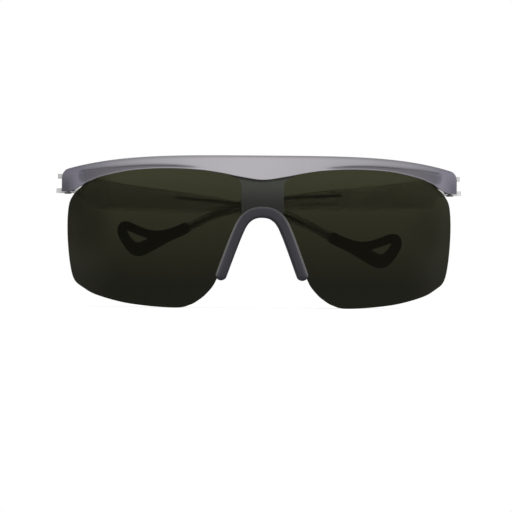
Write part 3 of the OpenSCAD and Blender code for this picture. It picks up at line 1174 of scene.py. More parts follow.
@dataclass(frozen=True)
class Layout:
    """Sizes of the front that more than one piece follows, in millimetres."""

    frame_w: float = 141.0
    wrap_r: float = 94.0
    lens_h: float = 49.2
    lens_t: float = 1.8
    lens_setback: float = 1.7
    lens_inset: float = 2.45
    lens_grip: float = 1.45
    pad_below: float = 15.3
    pad_w: float = 4.0
    pad_depth: float = 7.0
    pad_spread: float = 15.0
    pad_h: float = 24.0
    hinge_inset: float = 2.6
    hinge_back: float = 7.5
    hinge_below: float = 5.5
    fork_gap: float = 3.4
    lug_t: float = 1.7
    knuckle_r: float = 2.2
    screw_d: float = 1.4
    seat_gap: float = 0.05
    sweep_gap: float = 0.25

    @property
    def half_w(self) -> float:
        """Half the front's width."""
        return self.frame_w / 2

    @property
    def lens_half_w(self) -> float:
        """Half the lens's width."""
        return self.half_w - self.lens_inset

    @property
    def lens_out_r(self) -> float:
        """Radius of the lens's front."""
        return self.wrap_r - self.lens_setback

    @property
    def lens_in_r(self) -> float:
        """Radius of the lens's back."""
        return self.lens_out_r - self.lens_t

    @property
    def pad_top_z(self) -> float:
        """Height of the pad's middle line at the nose."""
        return self.lens_h - self.pad_below

    @property
    def pad_end_z(self) -> float:
        """Height of the pad's ends."""
        return self.pad_top_z - self.pad_h

    @property
    def fork_half(self) -> float:
        """Half the fork's height."""
        return self.fork_gap / 2 + self.lug_t

    def hinge(self, side: Side) -> Vector:
        """Middle of a hinge.

        Args:
            side: Which arm's hinge.

        Returns:
            Its place, on the screw's axis.
        """
        x = self.half_w - self.hinge_inset
        y = self.round_y(self.wrap_r, x) + self.hinge_back
        return Vector((side.value * x, y, self.lens_h - self.hinge_below))

    def round_y(self, radius: float, x: float) -> float:
        """Y at X of a face round the wrap's axis."""
        return self.wrap_r - math.sqrt(radius ** 2 - x * x)

    def front_y(self, x: float) -> float:
        """Y of the lens's front at X."""
        return self.round_y(self.lens_out_r, x)

    def back_y(self, x: float) -> float:
        """Y of the lens's back at X."""
        return self.round_y(self.lens_in_r, x)


@dataclass
class PadLine:
    """Middle line of the nose pad, which the lens's arch and the tongue follow too.

    The arch is given in shares of its half width and its height, and the legs in
    shares of what is left of the pad's.
    """

    layout: Layout
    arch_w: float = 8.45
    arch_h: float = 6.6
    arch: tuple[Point, ...] = (
        (0, 0), (0.38, 0.076), (0.675, 0.318), (0.864, 0.636), (1, 1),
    )
    legs: tuple[Point, ...] = ((0.23, 0.21), (0.66, 0.645), (1, 1))
    points: list[Spot] = field(init=False)

    def __post_init__(self) -> None:
        """Works out the line's points with the direction that is outwards at each."""
        w, h, top = self.arch_w, self.arch_h, self.layout.pad_top_z
        leg_w, leg_h = self.layout.pad_spread - w, self.layout.pad_h - h
        half = placed(self.arch, (0, top), w, -h)
        half += placed(self.legs, (w, top - h), leg_w, -leg_h)
        line = smooth_path(both_halves(half), steps=4)
        self.points = []
        for i, (x, z) in enumerate(line):
            a, b = around(line, i)
            run = Vector((b[0] - a[0], b[1] - a[1])).normalized()
            self.points.append((x, z, -run.y, run.x))

    def beside(self, q: Spot, out: float) -> Point:
        """A point beside the line, measured outwards."""
        return q[0] + out * q[2], q[1] + out * q[3]

    def crest(self) -> list[Point]:
        """Right half of the pad's top edge."""
        half = self.layout.pad_w / 2
        return [self.beside(q, half) for q in self.points if q[0] >= -0.01]


# Brow bar


@dataclass
class BrowBar:
    """Brow bar with its end pieces, its scoops, the tongue and the knuckles.

    Lengths are in millimetres. Places in low_line and scoop_edge are shares of half
    the front's width. In low_line each has its shares of bridge_dip and end_drop, in
    scoop_edge its height over the lens's. The scoop's profile gives shares of its
    height and of its depth.
    """

    layout: Layout
    pad_line: PadLine
    bar_rise: float = 4.7
    bridge_dip: float = 3.9
    end_drop: float = 8.3
    crown_fall: float = 5.4
    mid_t: float = 5.5
    end_t: float = 4.0
    scoop_depth: float = 1.1
    lip_h: float = 0.45
    crown_power: float = 3.95
    scoop_in: float = 0.27
    scoop_full: float = 0.48
    scoop_slope: float = 0.8
    scoop_end_inset: float = 5.05
    scoop_end_round: float = 2.3
    scoop_lean: float = 2.3
    scoop_corner_r: float = 2.4
    scoop_corner_drop: float = 1.2
    back_rise: float = 0.95
    band_min_h: float = 1.5
    end_corner_r: float = 2.0
    front_round: float = 1.15
    back_round: float = 0.45
    tongue_half_w: float = 7.5
    tongue_fillet: float = 2.2
    groove_end_inset: float = 2.4
    groove_room: float = 0.4
    washer_t: float = 0.25
    washer_gap: float = 0.02
    web_back: float = 3.6
    heel_l: float = 4.1
    bush_wall: float = 0.45
    pin_inset: float = 47.5
    pin_d: float = 1.2
    lip_round: float = 0.14
    lip_flat: float = 0.12
    scoop_min: float = 1.4
    end_in: float = 0.2
    knuckle_round: float = 0.12
    mid_places: tuple[float, ...] = (1.5, 3.0, 4.5, 6.0)
    by_tongue: tuple[float, ...] = (-0.1, 0.01)
    by_end: tuple[float, ...] = (0.9, 1.8)
    by_groove: tuple[float, ...] = (-0.01, 0.2)
    fillet_shares: tuple[float, ...] = (0.06, 0.15, 0.3, 0.5, 0.75, 1)
    corner_shares: tuple[float, ...] = (0, 0.3, 0.55, 0.75, 0.88, 0.96, 1)
    scoop_sections: int = 44
    lean_sections: int = 16
    ease: float = 0.3
    # Marks for the bar's painted shade: in the scoops, along the top edge and on the
    # lower end pieces.
    mark_depth: float = 0.05
    mark_full: float = 0.5
    mark_above: float = 0.7
    mark_edge: float = 0.25
    mark_edge_dim: float = 0.5
    lip_mark: float = 0.35
    lip_share: float = 0.8
    lip_from: Point = (0.2, 0.8)
    behind_gain: float = 3.0
    end_from: Point = (64.5, 69.0)
    end_below: Point = (42.5, 49.0)
    scoop_profile: tuple[Point, ...] = (
        (1.0, 0.8), (0.8, 1.0), (0.55, 1.0), (0.3, 1.0), (0.1, 0.85), (0.0, 0.4),
    )
    low_line: tuple[tuple[float, float, float], ...] = (
        (0.0, 1.0, 0.0), (0.114, 0.72, 0.0), (0.213, 0.37, 0.0), (0.327, 0.1, 0.0),
        (0.49, 0.0, 0.0), (0.654, 0.0, 0.088), (0.797, 0.0, 0.345), (0.855, 0.0, 0.54),
        (0.875, 0.0, 0.61), (0.893, 0.0, 0.72), (0.92, 0.0, 0.865), (0.94, 0.0, 0.95),
        (0.965, 0.0, 1.0), (1.0, 0.0, 1.0),
    )
    scoop_edge: tuple[Point, ...] = (
        (0, -4), (0.2, -1), (0.26, -0.15), (0.32, 0.45), (0.4, 0.9), (0.5, 1.1),
        (0.6, 1.0), (0.7, 0.53), (0.8, -0.1), (0.87, -0.8), (0.92, -1.45), (1, -2.6),
    )
    low_path: list[Point] = field(init=False)
    scoop_path: list[Point] = field(init=False)
    crest: list[Point] = field(init=False)

    def __post_init__(self) -> None:
        """Works out the bar's lower edge and the pad's crest under the tongue."""
        half_w = self.layout.half_w
        drops = [
            (x * half_w, dip * self.bridge_dip + end * self.end_drop)
            for x, dip, end in self.low_line
        ]
        edge = placed(self.scoop_edge, (0, 0), half_w, 1)
        self.low_path = smooth_path(both_halves(drops), steps=6)
        self.scoop_path = smooth_path(edge, steps=6)
        self.crest = self.pad_line.crest()

    def low(self, x: float) -> float:
        """Height of the bar's lower edge."""
        return self.layout.lens_h - lookup(abs(x), self.low_path)

    def end_round(self, x: float) -> float:
        """How far the end's round corner has come in."""
        e = max(abs(x) - (self.layout.half_w - self.end_corner_r), 0.0)
        return self.end_corner_r - math.sqrt(max(self.end_corner_r ** 2 - e * e, 0.0))

    def top(self, x: float) -> float:
        """Height of the bar's top."""
        fall = self.crown_fall * (abs(x) / self.layout.half_w) ** self.crown_power
        return self.layout.lens_h + self.bar_rise - fall - self.end_round(x)

    def thickness(self, x: float) -> float:
        """Thickness from front to back."""
        return self.mid_t - (self.mid_t - self.end_t) * (x / self.layout.half_w) ** 2

    def scoop_depth_at(self, x: float, share: float) -> float:
        """Depth of the scoop, at a share of its height, as its outer end leans.

        Args:
            x: Place along the front.
            share: Share of the scoop's height.

        Returns:
            The depth.
        """
        half_w = self.layout.half_w
        end = half_w - self.scoop_end_inset
        leant = abs(x) + self.scoop_lean * (1 - share) ** 3
        grow = ramp(abs(x), self.scoop_in * half_w, self.scoop_full * half_w)
        stop = ramp(leant, end - self.scoop_end_round, end)
        return self.scoop_depth * grow * (1 - stop)

    def scoop_high(self, x: float) -> float:
        """Height of the scoop's upper edge.

        Args:
            x: Place along the front.

        Returns:
            The height.
        """
        end = self.layout.half_w - self.scoop_end_inset
        t = min(max((abs(x) - end) / self.scoop_corner_r + 1, 0.0), 1.0)
        corner = self.scoop_corner_drop * (1 - math.sqrt(1 - t * t))
        edge = self.layout.lens_h + lookup(abs(x), self.scoop_path)
        high = min(edge, self.top(x) - self.band_min_h) - corner
        return max(self.low(x) + self.scoop_min * self.lip_h, high)

    def back_low(self, x: float) -> float:
        """Lower edge of the back wall, which runs down as the tongue.

        Args:
            x: Place along the front.

        Returns:
            The height.
        """
        lay = self.layout
        inner = abs(x) * (1 - self.thickness(x) / lay.wrap_r)
        low = min(self.low(inner), self.low(x) + self.back_rise * lay.lens_grip)
        over, fillet = abs(x) - self.tongue_half_w, self.tongue_fillet
        if over <= 0:
            return lookup(inner, self.crest) + lay.seat_gap
        if over < fillet:
            return low - fillet + math.sqrt(fillet ** 2 - (fillet - over) ** 2)
        return low

    def section(self, x: float) -> list[Point]:
        """Section of the bar.

        Args:
            x: Place along the front.

        Returns:
            Points of radius and height.
        """
        lay = self.layout
        top, low = self.top(x), self.low(x)
        out = lay.wrap_r - self.end_in * self.end_round(x)
        inn = lay.wrap_r - self.thickness(x)
        high = self.scoop_high(x)
        lip = low + self.lip_h
        groove = (
            lay.lens_grip + self.groove_room
            if abs(x) < lay.half_w - self.groove_end_inset else 2 * lay.seat_gap
        )
        lens_r = lay.lens_out_r + lay.seat_gap
        under = min(self.low(x * lens_r / lay.wrap_r), low + 0.5 * groove)
        r, b, ease = self.front_round, self.back_round, self.ease
        back = self.back_low(x)
        return [
            (inn + b, top), *arc((out - r, top - r), r, 90, 0, count=6),
            (out, high + self.scoop_slope),
            (out - ease * self.scoop_depth_at(x, 1), high + ease * self.scoop_slope),
            *(
                (out - deep * self.scoop_depth_at(x, share), lip + share * (high - lip))
                for share, deep in self.scoop_profile
            ),
            (out, lip - self.lip_flat),
            (out, low + self.lip_round), (out - self.lip_round, low),
            (lens_r, under), (lens_r, low + groove),
            (lay.lens_in_r - lay.seat_gap, low + groove),
            (lay.lens_in_r - lay.seat_gap, back),
            (inn + ease * b, back), (inn, back + ease * b),
            (inn, top - b), (inn + ease * b, top - ease * b),
        ]

    def wrapped(self, x: float, q: Point) -> Vector:
        """A point of a section in its place round the wrap.

        Args:
            x: Place along the front.
            q: Radius and height of the point.

        Returns:
            Its place.
        """
        a = math.asin(x / self.layout.wrap_r)
        return Vector(
            (q[0] * math.sin(a), self.layout.wrap_r - q[0] * math.cos(a), q[1])
        )

    def stations(self) -> list[float]:
        """Places of the sections from end to end.

        Returns:
            X of each section on the bar's front, from left to right.
        """
        half_w, tongue = self.layout.half_w, self.tongue_half_w
        after = tongue + self.tongue_fillet
        end = half_w - self.scoop_end_inset
        lean = end - self.scoop_end_round - self.scoop_lean
        groove, corner = half_w - self.groove_end_inset, half_w - self.end_corner_r
        half = [*self.mid_places, *(tongue + dx for dx in self.by_tongue)]
        half += [tongue + share * self.tongue_fillet for share in self.fillet_shares]
        half += spread(after, lean, self.scoop_sections)
        half += spread(lean, end, self.lean_sections)
        half += [end + dx for dx in self.by_end]
        half += [groove + dx for dx in self.by_groove]
        half += [corner + share * self.end_corner_r for share in self.corner_shares]
        return [-x for x in reversed(half)] + [0.0] + half

    def reach(self, co: Vector) -> float:
        """Distance of a point from the wrap's axis."""
        return math.hypot(co.x, self.layout.wrap_r - co.y)

    def wrap_x(self, co: Vector) -> float:
        """X on the bar's front of the section that a point is in."""
        return self.layout.wrap_r * co.x / max(self.reach(co), 1.0)

    def scoop_mark(self, co: Vector) -> float:
        """Painted shade, 1 in the floor of the scoop and 0 on the rest of the bar.

        Args:
            co: Place of the point.

        Returns:
            The mark, less at the scoop's edges.
        """
        lay, x = self.layout, self.wrap_x(co)
        if abs(x) >= lay.half_w or self.reach(co) < lay.lens_out_r:
            return 0.0
        high, lip = self.scoop_high(x), self.low(x) + self.lip_h
        depth = self.scoop_depth_at(x, min(max((co.z - lip) / (high - lip), 0.0), 1.0))
        if depth < self.mark_depth or co.z > high + self.mark_above * self.scoop_slope:
            return 0.0
        if co.z < self.low(x) + self.lip_share * self.lip_h:
            return self.lip_mark * ramp(depth, *self.lip_from)
        sunk = ramp((lay.wrap_r - self.reach(co)) / depth, self.ease, 1.0)
        below = ramp(high - co.z, 0.0, self.mark_edge * (high - lip))
        # Less painted shade just below the scoop's upper edge, where its slope is
        # shaded already.
        shade_share = self.mark_edge_dim + (1 - self.mark_edge_dim) * below
        return sunk * ramp(depth, self.mark_depth, self.mark_full) * shade_share

    def rim_mark(self, co: Vector) -> float:
        """Distance below the top edge of the bar's front, or behind it, for the painted
        shade along the top edge.
        """
        behind = max(self.layout.wrap_r - self.front_round - self.reach(co), 0.0)
        return self.top(self.wrap_x(co)) - co.z + self.behind_gain * behind

    def end_mark(self, co: Vector) -> float:
        """Painted shade, 1 on the lower outer part of the end pieces."""
        outer = ramp(abs(self.wrap_x(co)), *self.end_from)
        return outer * (1 - ramp(co.z, *self.end_below))

    def build(self) -> bpy.types.Object:
        """Bar, one piece.

        Returns:
            The piece.
        """
        lay = self.layout
        bm = Bench.loft([
            [self.wrapped(x, q) for q in self.section(x)] for x in self.stations()
        ])
        knuckle_half = lay.fork_gap / 2 - self.washer_t - 2 * self.washer_gap
        sweep = self.heel_l + lay.sweep_gap
        bore = lay.screw_d / 2 + 2 * lay.seat_gap + self.bush_wall
        room, hinges = 3 * lay.fork_gap, [lay.hinge(side) for side in Side]
        steps: list[tuple[Cut, Mesh]] = []
        for h in hinges:
            for low in (h.z + knuckle_half, h.z - knuckle_half - room):
                gap = Bench.drum(sweep, low, low + room, (h.x, h.y), sides=96)
                steps.append((Cut.REMOVE, gap))
        for h in hinges:
            r, foot = lay.knuckle_r, h.y - self.web_back
            eye = arc((h.x, h.y), r, 0, 180, count=36)
            knuckle = Bench.slab(
                [*eye, (h.x - r, foot), (h.x + r, foot)],
                h.z - knuckle_half, h.z + knuckle_half,
            )
            Bench.round_edges(knuckle, self.knuckle_round, segments=2)
            steps.append((Cut.JOIN, knuckle))
        for side, h in zip(Side, hinges):
            hole = Bench.drum(bore, h.z - lay.fork_gap, h.z + lay.fork_gap, (h.x, h.y))
            steps += [(Cut.REMOVE, hole), (Cut.REMOVE, self.pin_hole(side))]
        # The marks carry the painted shade of the scoops, the top edge and the end
        # pieces.
        marks = {
            "scoop": self.scoop_mark, "below_top": self.rim_mark, "end": self.end_mark,
        }
        return Bench.finish(
            Bench.combine(bm, steps), "brow_bar_shell", Body.FRONT, Slot.FRAME,
            FrostedFrame(lay.half_w).dress(), "brow_bar", marks,
        )

    def pin_hole(self, side: Side) -> Mesh:
        """Hole that a lens pin goes through, from the back of the bar.

        Args:
            side: Which pin's hole.

        Returns:
            The solid that is taken away for it.
        """
        lay = self.layout
        x = lay.half_w - self.pin_inset
        z = self.low(x) + lay.lens_grip / 2
        a = side.value * math.asin(x / lay.wrap_r)
        near = lay.wrap_r - self.thickness(x) - self.pin_d
        far = lay.wrap_r - lay.lens_setback / 2 + lay.seat_gap
        bm = Bench.drum(self.pin_d / 2 + lay.seat_gap, near, far, sides=32)
        turn = Matrix.Rotation(a, 4, "Z") @ Matrix.Rotation(math.pi / 2, 4, "X")
        place = Matrix.Translation((0, lay.wrap_r, z)) @ turn
        bmesh.ops.transform(bm, matrix=place, verts=bm.verts[:])
        return bm


# Lens


@dataclass
class ShieldLens:
    """One curved lens over both eyes, with the arch for the nose.

    Its lines are shares of its height: side_line inwards from its outer edge, low_line
    inwards from low_x. foot_line is in widths of the pad, from the pad's end.
    """

    layout: Layout
    bar: BrowBar
    pad_line: PadLine
    low_x: float = 31.2
    bite: float = 0.25
    rim_round: float = 0.3
    strip: float = 0.75
    bond_fillet: float = 3.6
    side_line: tuple[Point, ...] = (
        (0.094, 0.862), (0.067, 0.840), (0.039, 0.806), (0.012, 0.748), (0.0, 0.640),
        (0.002, 0.488), (0.019, 0.315), (0.049, 0.199), (0.110, 0.142), (0.218, 0.084),
        (0.447, 0.026),
    )
    low_line: tuple[Point, ...] = (
        (0.0, 0.0), (0.118, 0.020), (0.203, 0.071), (0.248, 0.114),
    )
    foot_line: tuple[Point, ...] = ((0.66, -0.675), (0.46, -0.375))
    top_inset: float = 0.114
    top_steps: int = 60

    def top(self, x: float) -> float:
        """Height of the lens's upper edge, which is in the bar's groove."""
        lay = self.layout
        return self.bar.low(x * lay.wrap_r / lay.lens_in_r) + lay.lens_grip

    def outline(self) -> list[Point]:
        """Edge of the lens, once round.

        Returns:
            Points of X and Z.
        """
        lay, pad = self.layout, self.pad_line
        h, w = lay.lens_h, lay.pad_w
        xs = [0.0, *spread(0.0, lay.lens_half_w - self.top_inset * h, self.top_steps)]
        points = placed(self.side_line, (lay.lens_half_w, 0), -h, h)
        points += placed(self.low_line, (self.low_x, 0), -h, h)
        points += placed(self.foot_line, (lay.pad_spread, lay.pad_end_z), w, w)
        top = both_halves([(x, self.top(x)) for x in xs])
        side = smooth_path(points, steps=8)
        nose = [pad.beside(q, self.bite * w) for q in reversed(pad.points)]
        return top + side + nose + [(-x, z) for x, z in reversed(side)]

    def build(self) -> bpy.types.Object:
        """Lens, one piece.

        Returns:
            The piece.
        """
        lay = self.layout
        count = int(lay.lens_half_w / self.strip)
        cuts = [k * self.strip for k in range(-count, count + 1)]
        bm = Bench.plate([self.outline()], cuts, lay.front_y, lay.back_y)
        Bench.round_edges(bm, self.rim_round, segments=3)
        finish = TintedLens(
            lay.lens_h, self.bar.tongue_half_w, self.bond_fillet,
            self.bar.low(self.bar.tongue_half_w),
        )
        return Bench.finish(
            bm, "shield_lens_sheet", Body.FRONT, Slot.LENS, finish.dress(),
            "shield_lens",
        )


# Nose pad


@dataclass
class NosePad:
    """Moulded pad that grips the lens's arch and straddles the nose.

    Each point of the section is a share of the pad's width, outwards from its middle
    line, and a distance behind the lens's front in millimetres.
    """

    layout: Layout
    line: PadLine
    end_steps: tuple[float, ...] = (0.0, 0.12, 0.3, 0.55, 0.8)
    end_r: float = 1.9
    end_h: float = 0.55
    middle: float = 0.45
    end_least: float = 0.04
    lip_from: Point = (0.28, 0.36)
    lip_reach: float = 0.02
    section: tuple[Point, ...] = (
        (-0.5, 6.1), (-0.5, 1.05), (-0.485, 0.5), (-0.44, -0.15), (-0.36, -0.6),
        (-0.26, -0.8), (0.0, -0.8), (0.2, -0.8), (0.29, -0.72), (0.33, -0.56),
        (0.36, -0.46), (0.43, -0.46), (0.475, -0.4), (0.5, -0.22), (0.5, -0.05),
        (0.2375, -0.05), (0.2375, 1.85), (0.44, 1.85), (0.47, 2.1), (0.4, 6.3),
        (0.32, 6.85), (0.2, 7.0), (-0.3, 7.0), (-0.44, 6.8),
    )

    def rings(self) -> list[list[Vector]]:
        """Rings of points along the pad, rounded off at both ends.

        Returns:
            Rings with the same number of points, from end to end.
        """
        points = self.line.points
        first, second = Vector(points[0][:2]), Vector(points[1][:2])
        run = (second - first).normalized()
        start: list[tuple[Spot, float]] = []
        for t in self.end_steps:
            at = first + run * t * self.end_r
            grow = math.sqrt(1 - (1 - max(t, self.end_least)) ** 2)
            start.append(((at.x, at.y, *points[0][2:]), grow))
        inner = [
            (q, 1.0) for q in points
            if all(
                (Vector((x, q[1])) - first).length > self.end_r for x in (q[0], -q[0])
            )
        ]
        end = [((-x, z, -u, v), grow) for (x, z, u, v), grow in reversed(start)]
        return [
            [self.point(q, s, grow) for s in self.section]
            for q, grow in start + inner + end
        ]

    def point(self, q: Spot, s: Point, grow: float) -> Vector:
        """One point of a ring, set behind the lens's front.

        Args:
            q: Point of the middle line with its outward direction.
            s: Point of the section.
            grow: Share of its full size that the ring has.

        Returns:
            The point's place.
        """
        x, z = self.line.beside(q, s[0] * self.layout.pad_w * grow)
        middle = self.middle * self.layout.pad_depth
        y = middle + (s[1] - middle) * (self.end_h + (1 - self.end_h) * grow)
        return Vector((x, self.layout.front_y(x) + y, z))

    def lip_mark(self, co: Vector) -> float:
        """1 on the thin outer lip in front of the lens, 0 on the rest."""
        before = co.y < self.layout.front_y(co.x) + self.lip_reach
        return ramp(self.out_mark(co), *self.lip_from) if before else 0.0

    def out_mark(self, co: Vector) -> float:
        """Distance out from the pad's middle line, in widths of the pad.

        Args:
            co: Place of the point.

        Returns:
            The distance, below 0 on the inner side.
        """
        best = min(
            self.line.points, key=lambda q: (q[0] - co.x) ** 2 + (q[1] - co.z) ** 2
        )
        out = (co.x - best[0]) * best[2] + (co.z - best[1]) * best[3]
        return out / self.layout.pad_w

    def build(self) -> bpy.types.Object:
        """Pad, one piece.

        Returns:
            The piece.
        """
        bm = Bench.loft(self.rings())
        return Bench.finish(
            bm, "nose_pad_rubber", Body.FRONT, Slot.PAD, SoftPad().dress(), "nose_pad",
            {"lip": self.lip_mark, "out": self.out_mark},
        )


# Arms


@dataclass
class ArmSizes:
    """Sizes of an arm, drawn from its hinge along +X, with heights from the hinge.

    Lengths are in millimetres. The root's, the blade's and the wire's lines are in
    shares of the blade's length, and the tip's lines and core_tail in shares of the
    tip's length, from the blade's end. core_head is two heights before core_course.
    """

    share: float = 0.66
    hinge_t: float = 2.8
    tip_end_t: float = 1.9
    bow_r: float = 820.0
    tip_l: float = 25.6
    tip_t: float = 3.6
    core_d: float = 1.1
    core_start: float = 38.0
    heel_l: float = 4.1
    heel_step: float = 0.5
    screw_sink: float = 0.35
    screw_head_d: float = 2.5
    sag_from: float = 2.0
    tip_fall: float = -0.1624
    bend_step: float = 2.0
    tip_bend_step: float = 1.2
    blade_round: float = 0.5
    lug_round: float = 0.22
    tip_round: float = 1.0
    insert_wall: float = 0.42
    wire_sides: int = 20
    wire_point: float = 0.6
    thin_from: Point = (2.4, 3.6)
    thin_until: Point = (72.0, 84.0)
    off_thin: float = 5.0
    root_reach: float = 1.5
    root_top: tuple[Point, ...] = ((0, 0), (0.050, -0.001), (0.122, -0.0158))
    root_low: tuple[Point, ...] = ((0, 0), (0.030, -0.003))
    blade_top: tuple[Point, ...] = (
        (0.265, 0.0018), (0.379, -0.0092), (0.494, -0.0215), (0.571, -0.0305),
        (0.632, -0.0399), (0.803, -0.0602), (0.905, -0.0989), (1.002, -0.1452),
    )
    blade_low: tuple[Point, ...] = (
        (0.060, -0.0740), (0.090, -0.0890), (0.145, -0.0963), (0.237, -0.0970),
        (0.387, -0.0966), (0.538, -0.0973), (0.660, -0.0992), (0.806, -0.1070),
        (0.905, -0.1345), (0.992, -0.1785),
    )
    tip_shape: tuple[Point, ...] = (
        (-0.016, -0.066), (0.035, 0.059), (0.141, 0.021), (0.266, -0.023),
        (0.410, -0.053), (0.562, -0.039), (0.727, 0.023), (0.840, 0.068),
        (0.934, 0.057), (0.984, -0.020), (0.977, -0.113), (0.926, -0.219),
        (0.836, -0.340), (0.758, -0.398), (0.672, -0.410), (0.594, -0.387),
        (0.449, -0.309), (0.262, -0.203),
    )
    tip_hole: tuple[Point, ...] = (
        (0.576, -0.165), (0.720, -0.108), (0.840, -0.060), (0.847, -0.078),
        (0.797, -0.158), (0.742, -0.208), (0.690, -0.220), (0.632, -0.195),
    )
    core_head: Point = (-0.0375, -0.0435)
    core_course: tuple[Point, ...] = (
        (0.643, -0.051), (0.730, -0.060), (0.806, -0.0775), (0.900, -0.117),
        (1.0, -0.1624),
    )
    core_tail: tuple[Point, ...] = ((0.18, -0.074), (0.45, -0.176))


@dataclass
class Temple:
    """One arm with its fork, its wire and its looped rubber tip."""

    layout: Layout
    side: Side
    arm_finish: Material
    core_finish: Material
    tip_finish: Material
    sag_degrees: float = 0.0
    fold_degrees: float = 0.0
    sizes: ArmSizes = field(default_factory=ArmSizes)

    @property
    def blade_l(self) -> float:
        """Length from the hinge to the rubber tip."""
        return self.sizes.share * self.layout.frame_w

    def sag(self, s: float) -> float:
        """How far the arm hangs lower at a place along it."""
        slope = math.tan(math.radians(self.sag_degrees))
        return max(s - self.sizes.sag_from, 0.0) * slope

    def hung(self, points: Path) -> list[Point]:
        """Points with the sag taken off their heights."""
        return [(s, z - self.sag(s)) for s, z in points]

    def faces(self, hinge_t: float, end_t: float) -> tuple[Face, Face]:
        """Front and back of a wall that follows the arm's bow.

        Args:
            hinge_t: Its thickness at the hinge.
            end_t: Its thickness at the blade's end.

        Returns:
            Y of the front and Y of the back, each along the arm.
        """
        thin = (hinge_t - end_t) / self.blade_l ** 2
        back_r = 1 / (1 / self.sizes.bow_r + thin)
        front_r = 1 / (1 / self.sizes.bow_r - thin)

        def front(s: float) -> float:
            """Y of the front face."""
            return -hinge_t / 2 - front_r + math.sqrt(front_r ** 2 - s * s)

        def back(s: float) -> float:
            """Y of the back face."""
            return hinge_t / 2 - back_r + math.sqrt(back_r ** 2 - s * s)

        return front, back

    def settle(self, bm: Mesh) -> Mesh:
        """Brings a piece from the arm's own place to the hinge.

        Args:
            bm: The mesh, in the arm's own place.

        Returns:
            The same mesh, moved.
        """
        if self.side is Side.LEFT:
            turn = Matrix.Rotation(math.radians(self.fold_degrees), 4, "Z")
        else:
            turn = Matrix.Scale(-1, 4, (1, 0, 0))
        place = Matrix.Translation(self.layout.hinge(self.side)) @ turn
        bmesh.ops.transform(bm, matrix=place, verts=bm.verts[:])
        Bench.outward(bm)
        return bm

    def along(self, shares: Path, lift: float = 0.0) -> list[Point]:
        """Points given as shares of the blade's length."""
        return placed(shares, (0, lift), self.blade_l, self.blade_l)

    def past(self, shares: Path) -> list[Point]:
        """Points by the blade's end, given as shares of the tip's length."""
        z, length = self.sizes, self.blade_l
        return placed(shares, (length, z.tip_fall * length), z.tip_l, z.tip_l)

    def piece(
        self,
        bm: Mesh,
        name: str,
        slot: Slot,
        material: Material,
        node: str,
        marks: dict[str, Rule] | None = None,
    ) -> bpy.types.Object:
        """Brings a mesh to the hinge and makes it a piece of this arm.

        Args:
            bm: The mesh, in the arm's own place.
            name: Name of the piece, without the side.
            slot: Slot that its finish belongs to.
            material: Its material.
            node: CAD node that it replaces, without the side.
            marks: Values to keep at each point, by name.

        Returns:
            The piece.
        """
        word = self.side.word
        return Bench.finish(
            self.settle(bm), f"{word}_{name}", self.side.body, slot, material,
            f"{word}_{node}", marks,
        )

    def blade(self) -> bpy.types.Object:
        """Blade with the fork's two lugs.

        Returns:
            The piece.
        """
        lay, z = self.layout, self.sizes
        half, length = lay.fork_half, self.blade_l
        top = self.along(z.root_top, half) + self.along(z.blade_top)
        low = self.along(z.root_low, -half) + self.along(z.blade_low)
        upper, lower = (smooth_path(line, steps=8) for line in (top, low))
        outline = self.hung(upper + lower[::-1])
        front, back = self.faces(z.hinge_t, z.tip_end_t)
        cuts = [z.bend_step * k for k in range(2, int(length / z.bend_step) + 1)]
        bm = Bench.plate([outline], cuts, front, back, start=lay.knuckle_r)
        Bench.round_edges(bm, z.blade_round, segments=3)
        steps: list[tuple[Cut, Mesh]] = []
        gap = lay.fork_gap / 2
        for low_z, heel_l in ((-half, z.heel_l), (gap, z.heel_l - z.heel_step)):
            lug = Bench.slab(self.lug_outline(heel_l), low_z, low_z + lay.lug_t)
            Bench.round_edges(lug, z.lug_round, segments=3)
            steps.append((Cut.JOIN, lug))
        bore = lay.screw_d / 2
        for radius, low_z, high_z in (
            (lay.knuckle_r + lay.sweep_gap, -gap, gap),
            (bore + lay.seat_gap, -2 * half, 0.0),
            (bore + z.insert_wall, 0.0, 2 * half),
            (z.screw_head_d / 2 + lay.seat_gap, -2 * half, z.screw_sink - half),
        ):
            steps.append((Cut.REMOVE, Bench.drum(radius, low_z, high_z)))
        bm = Bench.combine(bm, steps)
        marks = {"over_low": self.low_mark(outline), "along": self.along_mark}
        return self.piece(bm, "arm_blade", Slot.ARM, self.arm_finish, "arm", marks)

    def along_mark(self, co: Vector) -> float:
        """Distance from the hinge."""
        hinge = self.layout.hinge(self.side)
        return math.hypot(co.x - hinge.x, co.y - hinge.y)

    def low_mark(self, outline: Path) -> Rule:
        """Rule for how far a point is above the blade's thin lower edge.

        Args:
            outline: The blade's outline in its own place.

        Returns:
            A rule that gives the height, and more near both ends, which aren't thin.
        """
        hinge, z = self.layout.hinge(self.side), self.sizes
        lower = sorted(outline[len(outline) // 2:])

        def rule(co: Vector) -> float:
            """Height over the thin edge.

            Args:
                co: Place of a point.

            Returns:
                The height.
            """
            s = self.along_mark(co)
            thin = ramp(s, *z.thin_from) * (1 - ramp(s, *z.thin_until))
            return co.z - hinge.z - lookup(s, lower) + z.off_thin * (1 - thin)

        return rule

    def lug_outline(self, heel_l: float) -> list[Point]:
        """Outline of a lug from above: heel, round eye, and the root in the blade.

        Args:
            heel_l: Distance from the hinge to the heel's end.

        Returns:
            Points of X and Y.
        """
        r = self.layout.knuckle_r
        w = self.sizes.hinge_t / 2
        meet = math.degrees(math.asin(w / r))
        root = self.sizes.root_reach * r
        heel = arc((w - heel_l, 0), w, 90, 270, count=15)
        lower = arc((0, 0), r, 180 + meet, 360 - meet, count=16)
        upper = arc((0, 0), r, meet, 180 - meet, count=16)
        return heel + lower + [(root, -w), (root, w)] + upper

